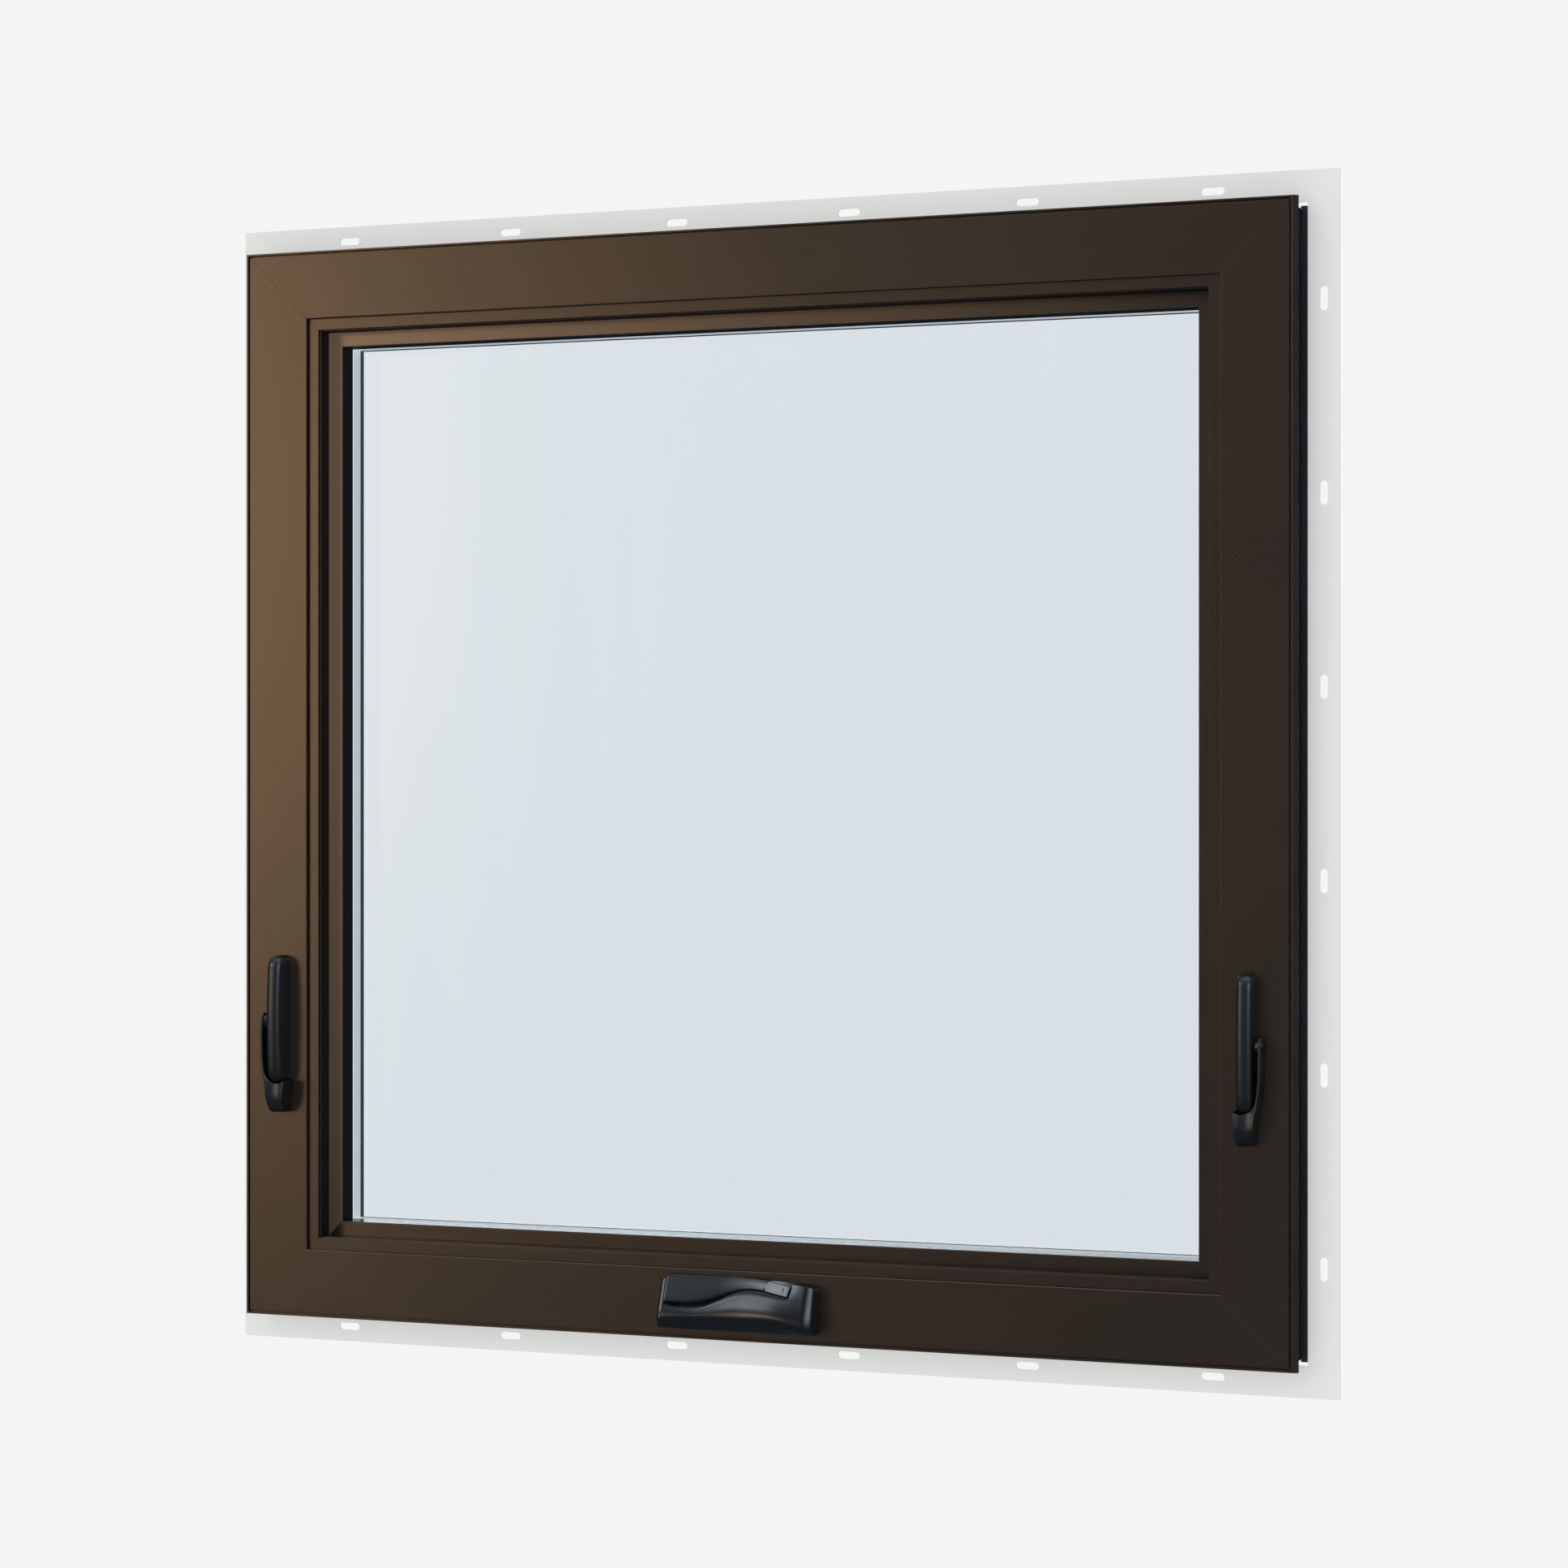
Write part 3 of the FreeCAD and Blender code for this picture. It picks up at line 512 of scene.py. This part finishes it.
def lock_housing(side):
    """The long bowed case with rounded ends, drawn up the jamb."""
    levels = [0.0, 0.12, 0.35, 0.7, 1.2, 1.9, 2.8, 4.0, 5.5, 7.5, 10, 14, 20, 28, 38, 48]
    ends = [LOCK_LOW + gap for gap in levels]
    places = ends + [(LOCK_LOW + LOCK_HIGH) / 2] + [LOCK_HIGH - gap for gap in reversed(levels)]
    half_length = (LOCK_HIGH - LOCK_LOW) / 2

    def shape(index, z):
        gap = min(z - LOCK_LOW, LOCK_HIGH - z)
        from_middle = (z - LOCK_LOW - half_length) / half_length
        depth = LOCK_END_DEPTH + LOCK_BOW * (1 - from_middle ** 2) - rounding(gap, 11.0)
        half = LOCK_HALF_WIDTH - rounding(gap, 4.8)
        across, proud = soft_section(half, depth, 3.6, 1.6)[index]
        return put(LOCK_X + across, proud, z)

    mesh = bmesh.new()
    drawn_out(mesh, SECTION_POINTS, places, shape)
    to_side(mesh, side)
    name = "left_lock_housing" if side < 0 else "right_lock_housing"
    settled(name + "_cast", mesh, "window", black_hardware, name)


def lever_outer(z):
    """The lever's outer face: straight beside the housing, then curving in to the tab's foot."""
    return LEVER_OUT - through(z, (LEVER_FOOT, 6.6), (201.0, 5.4), (213.0, 3.6), (224.0, 1.9),
                               (236.0, 0.6), (248.0, 0.0))


def tab_rim(x):
    """The tab's rim, hollowed round the housing's lower end."""
    return through(x, (TAB_LEFT, 216.9), (413.5, 215.2), (418.0, 214.4), (423.0, 215.6),
                   (427.0, 219.0), (430.0, 224.5), (LEVER_OUT, 232.0))


def tab_proud(share):
    """How far the tab's front stands out, from its foot to its rim."""
    return through(share, (0.0, 9.6), (0.06, 12.4), (0.15, 15.2), (0.28, 17.6), (0.42, 18.8),
                   (0.55, 19.1), (0.75, 18.8), (1.0, 18.2))


def lock_lever(side):
    """The lever: a dished tab at the foot, a thin arm up to the pivot's eye, and its bush."""
    mesh = bmesh.new()
    levels = [(rounding(share * 26.0, 1.6), share, 0.0)
              for share in (0.0, 0.004, 0.015, 0.035, 0.06, 0.1, 0.16, 0.25, 0.4, 0.55, 0.7, 0.85, 0.96)]
    levels += [(0.0, 1.0, 0.5), (0.06, 1.0, 0.25), (0.2, 1.0, 0.08), (0.45, 1.0, 0.0), (1.15, 1.0, 0.0)]
    levels += [(1.4, 1.0, 0.08), (1.55, 1.0, 0.3), (1.6, 0.97, 0.0), (1.6, 0.75, 0.0)]

    def tab_shape(index, level):
        inset, share, drop = level
        left = TAB_LEFT + (TAB_LEFT_AT_FOOT - TAB_LEFT) * (1 - share) ** 1.2
        right = lever_outer(LEVER_FOOT + (TAB_TOP - LEVER_FOOT) * share)
        half = (right - left) / 2 - inset
        depth = tab_proud(share) - LEVER_BACK - inset
        across, proud = soft_section(half, depth, 1.5, -1.7)[index]
        x = (left + right) / 2 + across
        return put(x, LEVER_BACK + proud, LEVER_FOOT + (tab_rim(x) - LEVER_FOOT) * share - drop)

    drawn_out(mesh, SECTION_POINTS, levels, tab_shape)

    tips = [0.0, 0.15, 0.5, 1.1, 2.0, 3.2, 4.8, 6.4, EYE_RADIUS]
    heights = [TAB_TOP, 219.0, 222.0, 226.0, 230.0, 235.0, 240.0, 246.0, 252.0, 258.0]
    heights += [PIVOT_Z + EYE_RADIUS - tip for tip in reversed(tips)]

    def arm_shape(index, z):
        over = max(0.0, z - PIVOT_Z)
        half_eye = math.sqrt(max(EYE_RADIUS ** 2 - over ** 2, 0.0)) if over else EYE_RADIUS
        front = through(z, (TAB_TOP, 18.3), (235.0, 17.6), (PIVOT_Z, PIVOT_PROUD + EYE_RADIUS))
        if z >= PIVOT_Z:
            front = PIVOT_PROUD + half_eye
        back = PIVOT_PROUD - half_eye if over else LEVER_BACK
        outer = lever_outer(z)
        inner = outer - 2.0 - 0.6 * blend(z, 226.0, TAB_TOP)
        corners = [(inner, back), (outer, back), (outer, front), (inner, front)]
        corner, bend = divmod(index, 3)
        x, p = corners[corner]
        x_in, p_in = (1 if x == inner else -1), (1 if p == back else -1)
        turn = [(0.0, 1.0), (0.3, 0.3), (1.0, 0.0)][bend]
        if corner % 2:
            turn = (turn[1], turn[0])
        edge = 0.45 * min(1.0, abs(front - back))
        return put(x + x_in * edge * turn[0], p + p_in * edge * turn[1], z)

    drawn_out(mesh, 12, heights, arm_shape)
    lathed(mesh, [(0.0, 427.8), (5.6, 427.8), (6.2, 428.4), (6.2, 432.0), (0.0, 432.0)])
    to_side(mesh, side)
    word = "left" if side < 0 else "right"
    settled(word + "_lock_lever_cast", mesh, word + "_lever", black_hardware,
            word + "_lock_lever")


def lock_pin(side):
    """Domed head of the pin that the lever turns on."""
    mesh = bmesh.new()
    lathed(mesh, [(0.0, 421.4), (2.5, 421.4), (2.5, 433.3), (3.5, 433.35), (3.5, 433.6), (3.2, 434.0),
                  (2.2, 434.4), (1.1, 434.55), (0.0, 434.6)])
    to_side(mesh, side)
    word = "left" if side < 0 else "right"
    settled(word + "_lock_pin_head", mesh, "window", pin_steel, word + "_lock_pin")


for side in (-1, 1):
    lock_housing(side)
    lock_lever(side)
    lock_pin(side)


# Crank operator. t runs down its slope from the top edge and n stands out of it, as in the CAD.

SLOPE = math.radians(25)
TILT = math.radians(13.3)
BOW_START = -20.0
BOW_RADIUS = 377.0
COVER_TOP = 67.9
COVER_TOP_PROUD = 5.0
COVER_LOW = 23.9
COVER_LEFT = -70.0
COVER_RIGHT = 68.0
RIM_RIGHT = -65.0
RECESS_RIGHT = 47.4
HANDLE_LEFT = -64.0
HANDLE_RIGHT_AT_TOP = 26.3
HANDLE_RIGHT_AT_FOOT = 24.1
HANDLE_THICK = 4.0
HUB_START_X = 25.6
HUB_START_T = 7.4
HUB_LENGTH = 21.4
HUB_HALF_WIDTH = 4.7
HUB_DEPTH = 7.9
SLOT_LENGTH = 16.3
SLOT_HALF_WIDTH = 2.2
TONGUE_HALF_WIDTH = 2.13
PIN_ALONG = 10.4
KNOB_X = -54.0
KNOB_T = 15.5
OUT_OF_SLOPE = Vector((0.0, -math.cos(SLOPE), math.sin(SLOPE)))


def bow(x):
    """How far the bowed front stands above the slope."""
    return BOW_RADIUS - math.sqrt(BOW_RADIUS ** 2 - max(0.0, x - BOW_START) ** 2)


def on_slope(x, t, n):
    """The (x, proud, height) of a point t down the slope and n out of it."""
    proud = COVER_TOP_PROUD + t * math.sin(SLOPE) + n * math.cos(SLOPE)
    return x, proud, COVER_TOP - t * math.cos(SLOPE) + n * math.sin(SLOPE)


def handle_low(x):
    """The handle's lower edge: a deep paddle at the left that narrows to the neck."""
    return through(x, (HANDLE_LEFT, 23.6), (-42.0, 23.6), (-33.0, 22.6), (-24.0, 20.3), (-15.0, 17.1),
                   (-6.0, 13.8), (3.0, 11.3), (12.0, 10.5), (HANDLE_RIGHT_AT_FOOT, 11.9))


def handle_top(x):
    """The handle's upper edge."""
    return through(x, (HANDLE_LEFT, 0.0), (-1.4, 0.0), (8.0, 0.25), (17.0, 1.1), (HANDLE_RIGHT_AT_TOP, 2.75))


def recess_low(x):
    """Lower lip of the handle's recess, with the fingertip scoop under the paddle."""
    scoop = through(x, (RIM_RIGHT, 24.4), (-62.0, 26.4), (-55.0, 28.3), (-43.0, 29.1), (-30.0, 27.0),
                    (-16.0, 20.6), (-8.0, 16.3), (0.0, 12.9))
    hub = 13.26 + math.tan(TILT) * (x - HUB_START_X)
    return scoop if x < -2 else max(handle_low(min(x, 24.0)) + 1.0, hub if x > 22 else 0.0)


def cover_top(x):
    """Height of the cover's top edge."""
    drop = through(x, (-20.0, 0.0), (50.0, 3.3), (58.0, 4.0), (62.0, 4.6))
    drop += rounding(COVER_RIGHT - x, 6.0) * 0.8
    return COVER_TOP - drop - rounding(x - COVER_LEFT, 1.8)


def cover_ridge(x):
    """Height of the ridge between the sloping front and the lower front."""
    return through(x, (COVER_LEFT, 32.8), (-40.0, 34.4), (-20.0, 35.4), (0.0, 36.4), (20.0, 36.3),
                   (35.0, 34.9), (49.0, 31.2), (60.0, 27.6), (COVER_RIGHT, 26.6))


def cover_proud(x):
    """How far the ridge stands out of the casing."""
    return through(x, (COVER_LEFT, 16.6), (-40.0, 17.0), (-20.0, 18.0), (0.0, 19.8), (20.0, 22.0),
                   (35.0, 23.3), (50.0, 23.9), (COVER_RIGHT, 24.0))


def end_fall(x):
    """How far the front falls back at the cover's right end."""
    return through(x, (59.0, 0.0), (61.0, 0.35), (63.0, 1.35), (65.0, 2.6), (66.4, 3.8),
                   (67.3, 5.3), (67.8, 7.2), (COVER_RIGHT, 10.0))


def between_points(start, end, share):
    """The (proud, height) point at a share of the way from start to end."""
    return [start[i] + (end[i] - start[i]) * share for i in (0, 1)]


def rounded_corner(start, corner, end, share):
    """A point on the curve that cuts the corner between two points."""
    return between_points(between_points(start, corner, share), between_points(corner, end, share), share)


def crank_cover():
    """The cast cover: a sheet draped over its columns, from the top edge down to the foot.

    Each column's points run down the front or, between the rim and the hub's end, through the
    handle's recess, then over the recess's lower lip, the ridge and the lower front.
    """
    left = [COVER_LEFT - 0.001, COVER_LEFT, -69.9, -69.6, -69.1, -68.4, -67.6, -66.5, -65.5, -65.05]
    recess = [-64.95, -63.5, -61, -58, -55, -52, -49, -46, -44, -42, -39, -36, -33, -30, -27, -24]
    recess += [-21, -18, -15, -12, -9, -6, -3, -1, 2, 5, 8, 11, 14, 17, 20, 22.9, 24.0, 27, 30, 33]
    recess += [36, 39, 42, 45, RECESS_RIGHT]
    right = [47.5, 48.3, 49.5, 51, 53, 55, 57, 58.5, 60, 61.5, 63, 64.3, 65.5, 66.5, 67.3, 67.8]
    right += [COVER_RIGHT, COVER_RIGHT + 0.001]
    places = left + recess + right

    def place(column, row):
        x = places[column]
        rim = x < RIM_RIGHT
        outside = rim or x > RECESS_RIGHT
        closing = column == 0 or column == len(places) - 1
        top_z = cover_top(x)
        top_z -= 4.6 if rim else 0.0
        top_proud = 3.4 if rim else COVER_TOP_PROUD + bow(x) / math.cos(SLOPE)
        ridge_z = cover_ridge(x)
        ridge_proud = cover_proud(x)
        fall = rounding(x - COVER_LEFT, 3.6) + end_fall(x)
        low_z = COVER_LOW + rounding(x - COVER_LEFT, 1.8) + rounding(COVER_RIGHT - x, 3.5)
        lip = min(recess_low(min(max(x, RIM_RIGHT + 0.1), RECESS_RIGHT)), 30.0)

        def front(t):
            z = COVER_TOP - t * math.cos(SLOPE) + bow(x) * math.sin(SLOPE)
            z = min(z, top_z)
            share = (top_z - z) / (top_z - ridge_z)
            return top_proud + (ridge_proud - top_proud) * share - fall, z

        def recess_floor(t):
            depth = 5.0 + 3.0 * blend(x, 20.0, 23.0) - 1.6 * blend(t, 22.5, 26.0)
            proud, z = on_slope(x, t, bow(x) - depth)[1:]
            knob_room = 9.0 * blend(x, -43.0, -46.0) * blend(x, -64.9, -62.5) * blend(t, 4.0, 9.0)
            return max(0.4, proud - knob_room * blend(t, 23.2, 21.4)), min(z, top_z)

        if row == 0:
            proud, z = 0.0, top_z
        elif row <= 2:
            if outside:
                proud, z = front(0.0)
                proud, z = (proud - 0.9, z) if row == 1 else (proud - 0.25, z - 0.35)
            else:
                proud, z = recess_floor(0.0 if row == 1 else 0.6)
        elif row <= 7:
            t = lip * (0.04, 0.35, 0.72, 0.82, 1.0)[row - 3]
            proud, z = front(t) if outside else recess_floor(t)
        elif row <= 9:
            proud, z = front(lip + (0.02 if row == 8 else 0.5))
            proud -= 0.35 if row == 8 and not outside else 0.0
        else:
            lip_edge = front(lip + 0.5)
            corner = (ridge_proud - fall, ridge_z)
            foot = (12.0 - fall * 0.6, low_z)
            before = between_points(lip_edge, corner, 0.55)
            after = between_points(corner, foot, 0.50)
            if row <= 12:
                proud, z = between_points(lip_edge, before, (row - 9) / 3)
            elif row <= 18:
                proud, z = rounded_corner(before, corner, after, (row - 12) / 6)
            elif row <= 23:
                near_foot = between_points(corner, foot, 0.86)
                proud, z = rounded_corner(near_foot, foot, (foot[0] - 3.5, low_z), (row - 19) / 4)
            else:
                proud, z = 0.0, low_z
        if closing:
            proud = 0.0
        down = (COVER_TOP + bow(x) * math.sin(SLOPE) - z) / math.cos(SLOPE)
        # The recess's right end leans with the hub.
        shear = -math.tan(TILT) * (down - 12.3) * blend(x, 24.0, 46.0) * blend(x, 60.0, 48.0)
        return put(x + shear * blend(down, 24.0, 18.0), max(proud, 0.0), z)

    mesh = bmesh.new()
    draped(mesh, len(places), 25, place)
    rim = [edge for edge in mesh.edges if edge.is_boundary]
    bmesh.ops.holes_fill(mesh, edges=rim, sides=0)
    settled("crank_cover_cast", mesh, "window", crank_black, "operator_cover",
            sharp=38)


def along_hub(along, across, n):
    """A point along and across the hub, which is tilted on the slope."""
    x = HUB_START_X + along * math.cos(TILT) - across * math.sin(TILT)
    t = HUB_START_T + along * math.sin(TILT) + across * math.cos(TILT)
    return on_slope(x, t, bow(x) + n)


def thickened(mesh, depth):
    """Gives a draped front its back, so deep into the slope."""
    back = bmesh.ops.extrude_face_region(mesh, geom=mesh.faces[:])
    sunk = [part for part in back["geom"] if isinstance(part, bmesh.types.BMVert)]
    bmesh.ops.translate(mesh, verts=sunk, vec=OUT_OF_SLOPE * -depth * MM)


def rounded_rim(mesh, width, segments, chosen=lambda edge: True):
    """Rounds the front's outer edges, or those chosen of them."""
    bmesh.ops.recalc_face_normals(mesh, faces=mesh.faces)
    edges = []
    for edge in mesh.edges:
        if len(edge.link_faces) == 2 and edge.calc_face_angle() > math.radians(50) and chosen(edge):
            if any(face.normal.dot(OUT_OF_SLOPE) > 0.7 for face in edge.link_faces):
                edges.append(edge)
    bmesh.ops.bevel(mesh, geom=edges, offset=width * MM, offset_type="OFFSET", segments=segments,
                    profile=0.5, affect="EDGES", material=-1)


def crank_handle():
    """The folding handle: a crowned paddle and neck, and the tongue that turns in the hub."""
    mesh = bmesh.new()
    columns, rows = 46, 9

    def place(column, row):
        across = row / (rows - 1)
        end = HANDLE_RIGHT_AT_TOP + (HANDLE_RIGHT_AT_FOOT - HANDLE_RIGHT_AT_TOP) * across
        x = HANDLE_LEFT + (end - HANDLE_LEFT) * column / (columns - 1)
        t = handle_top(x) + (handle_low(x) - handle_top(x)) * across
        crown = 0.35 * (1 - (2 * across - 1) ** 2)
        return put(*on_slope(x, t, bow(x) - 0.35 + crown))

    draped(mesh, columns, rows, place)
    thickened(mesh, HANDLE_THICK)
    rounded_rim(mesh, 1.3, 4)

    def tongue_shape(index, along):
        from_pin = along - PIN_ALONG
        low = -2.2 - max(math.sqrt(max(5.4 ** 2 - from_pin ** 2, 0.0)), 1.9 if from_pin < 0 else 0.0)
        n = low if index < 2 else -0.03
        across = TONGUE_HALF_WIDTH if index in (1, 2) else -TONGUE_HALF_WIDTH
        return put(*along_hub(along, across, n))

    places = [-2.0, 2.0, 5.0, 5.4, 6.2, 7.4, 8.8, PIN_ALONG, 12.0, 13.4, 14.4, 15.2, 15.6]
    drawn_out(mesh, 4, places, tongue_shape)
    settled("crank_handle_cast", mesh, "crank", crank_black, "crank_handle", sharp=42)


def crank_hub():
    """The block that the handle's tongue folds in, with a slot for the tongue."""
    lengths = [0.0, 3.0, 6.0, 9.0, 12.0, 14.5, SLOT_LENGTH, 19.0, HUB_LENGTH]
    half_widths = [SLOT_HALF_WIDTH, 3.5, HUB_HALF_WIDTH]
    widths = [-half for half in reversed(half_widths)] + half_widths
    mesh = bmesh.new()
    draped(mesh, len(lengths), len(widths),
           lambda column, row: put(*along_hub(lengths[column], widths[row], 0.0)))
    start = put(*along_hub(0.0, 0.0, 0.0))
    along_line = (put(*along_hub(1.0, 0.0, 0.0)) - start).normalized()
    across_line = (put(*along_hub(0.0, 1.0, 0.0)) - start).normalized()
    slot = []
    for face in mesh.faces:
        spot = face.calc_center_median() - start
        in_length = spot.dot(along_line) < SLOT_LENGTH * MM
        if in_length and abs(spot.dot(across_line)) < SLOT_HALF_WIDTH * MM:
            slot.append(face)
    bmesh.ops.delete(mesh, geom=slot, context="FACES")
    thickened(mesh, HUB_DEPTH)
    half_length = HUB_LENGTH / 2
    middle = put(*along_hub(half_length, 0.0, 0.0))
    ends = [put(*along_hub(HUB_LENGTH, 0.0, 0.0))]
    ends += [put(*along_hub(half_length, across, 0.0)) for across in (HUB_HALF_WIDTH, -HUB_HALF_WIDTH)]

    def outer(edge):
        spot = (edge.verts[0].co + edge.verts[1].co) / 2 - middle
        return any(spot.dot(end - middle) > 0.98 * (end - middle).length_squared for end in ends)

    rounded_rim(mesh, 0.4, 3, outer)
    settled("crank_hub_cast", mesh, "window", crank_black, "crank_hub", sharp=42)


def crank_knob():
    """Turned thumb knob on the back of the paddle."""
    mesh = bmesh.new()

    def shape(index, level):
        radius, n = level
        turn = math.radians(11.25 * index)
        return put(*on_slope(KNOB_X + radius * math.cos(turn), KNOB_T + radius * math.sin(turn), n))

    outline = [(0.05, -3.9), (4.6, -3.9), (4.2, -4.5), (4.1, -5.3), (4.6, -6.0), (5.6, -6.5)]
    outline += [(6.0, -7.1), (5.9, -7.8), (5.3, -8.3), (4.0, -8.5), (2.0, -8.6), (0.05, -8.6)]
    drawn_out(mesh, 32, outline, shape)
    settled("crank_knob_turned", mesh, "crank", crank_black, "crank_knob", sharp=35)


crank_cover()
crank_handle()
crank_hub()
crank_knob()


# Studio: camera, lamps, floor and world

CENTRE = Vector((0.0, 0.0, 0.4699))
EYE = (1.0204, -2.750, 0.4699)
EYE_TURN = math.radians(20)
LENS = 81.19
LAMP_DISTANCE = 3.0
LAMP_SIZE = 1.8
FLOOR_HEIGHT = -1.3
FLOOR_HALF = 12.0
BACKDROP = paint(245, 245, 243)
FLOOR_GLOW = paint(248, 248, 246)
AMBIENT = (0.45, 0.45, 0.45, 1.0)
DIM = (0.05, 0.075, 0.105, 1.0)


def camera():
    """The photo's view: level with the window's middle, from its right, 25 degrees wide."""
    data = bpy.data.cameras.new("camera")
    data.lens = LENS
    data.sensor_width = 36.0
    eye = bpy.data.objects.new("camera", data)
    eye.location = EYE
    eye.rotation_euler = (math.radians(90), 0.0, EYE_TURN)
    bpy.context.scene.collection.objects.link(eye)
    bpy.context.scene.camera = eye


def way_to(left, above):
    """The direction that lies left of straight out into the room and above level, in degrees."""
    out = math.radians(left)
    up = math.radians(above)
    return Vector((-math.sin(out) * math.cos(up), -math.cos(out) * math.cos(up), math.sin(up)))


def lamp(name, left, above, power):
    """A square soft lamp, power in watts, that lights matt surfaces. Gloss shows the world alone."""
    data = bpy.data.lights.new(name, "AREA")
    data.size = LAMP_SIZE
    data.energy = power
    way = way_to(left, above)
    light = bpy.data.objects.new(name, data)
    light.location = CENTRE + way * LAMP_DISTANCE
    light.rotation_euler = way.to_track_quat("Z", "Y").to_euler()
    light.visible_camera = False
    light.visible_glossy = False
    light.visible_transmission = False
    bpy.context.scene.collection.objects.link(light)


def world():
    """Even light for matt surfaces, a pale ground for the eye, and soft bright patches for gloss."""
    home = bpy.data.worlds.new("studio")
    home.cycles.sampling_method = "NONE"
    bpy.context.scene.world = home
    sheet = Sheet(home)
    way = sheet.node("ShaderNodeTexCoord", output=0)

    def patch(left, above, width):
        """A soft round patch of light, falling to half at width degrees from its middle."""
        facing = sheet.node("ShaderNodeVectorMath", {"operation": "DOT_PRODUCT"},
                            {0: way, 1: way_to(left, above)}, 1)
        power = math.log(0.5) / math.log(math.cos(math.radians(width)))
        return facing.at_least(0.0) ** power

    def over(colour, light, share):
        return sheet.node("ShaderNodeMix", {"data_type": "RGBA", "blend_type": "ADD"},
                          {0: share, 6: colour, 7: light}, 2)

    above_level = sheet.ramp(sheet.part(way, "Z") * 0.5 + 0.5, (0.505, 0.0), (0.57, 1.0))
    warm_left = patch(37.5, 4.5, 6.3)
    cool_high_left = patch(46, 33, 6.5)
    outdoors = patch(152, 16, 20) * above_level
    cool_right = patch(-42, 22, 15)
    overhead = patch(180, 82, 24)
    gloss = over(DIM, (4.75, 3.95, 2.75, 1.0), warm_left)
    gloss = over(gloss, (5.6, 6.3, 6.8, 1.0), cool_high_left)
    gloss = over(gloss, (2.4, 2.45, 2.45, 1.0), outdoors)
    gloss = over(gloss, (2.3, 2.75, 3.2, 1.0), cool_right)
    gloss = over(gloss, (1.7, 1.73, 1.76, 1.0), overhead)
    ambient = sheet.between(sheet.mirrored(), AMBIENT, gloss)
    colour = sheet.between(sheet.to_the_eye(), ambient, BACKDROP)
    background = sheet.node("ShaderNodeBackground", None, {"Color": colour, "Strength": 1.0})
    sheet.node("ShaderNodeOutputWorld", None, {"Surface": background})


def floor():
    """A pale floor well below the window.

    To the eye it has nearly the backdrop's tone and keeps a shadow. A glossy surface doesn't show it.
    """
    ground = bmesh.new()
    bmesh.ops.create_grid(ground, x_segments=1, y_segments=1, size=FLOOR_HALF,
                          matrix=Matrix.Translation((0.0, 0.0, FLOOR_HEIGHT)))
    data = bpy.data.meshes.new("floor")
    ground.to_mesh(data)
    ground.free()
    piece = bpy.data.objects.new("floor", data)
    bpy.context.scene.collection.objects.link(piece)
    sheet = finish("floor_pale")
    cloud = sheet.noise(sheet.place(), 3.0)
    tone = sheet.between(cloud, paint(232, 232, 231), paint(236, 236, 235))
    matt = sheet.node("ShaderNodeBsdfDiffuse", None, {"Color": tone})
    glow = sheet.node("ShaderNodeEmission", None, {"Color": FLOOR_GLOW, "Strength": 1.0})
    unseen = sheet.node("ShaderNodeBsdfTransparent")
    lit = sheet.node("ShaderNodeMixShader", None, {0: sheet.mirrored(), 1: matt, 2: unseen})
    both = sheet.node("ShaderNodeMixShader", None, {0: sheet.to_the_eye() * 0.95, 1: lit, 2: glow})
    sheet.node("ShaderNodeOutputMaterial", None, {"Surface": both})
    data.materials.append(sheet.owner)


bpy.context.scene.view_settings.view_transform = "Standard"
camera()
world()
floor()
lamp("key_lamp", 0, 13, 37)
lamp("low_lamp", -8, -14, 29)
lamp("outdoor_lamp", 165, 16, 45)
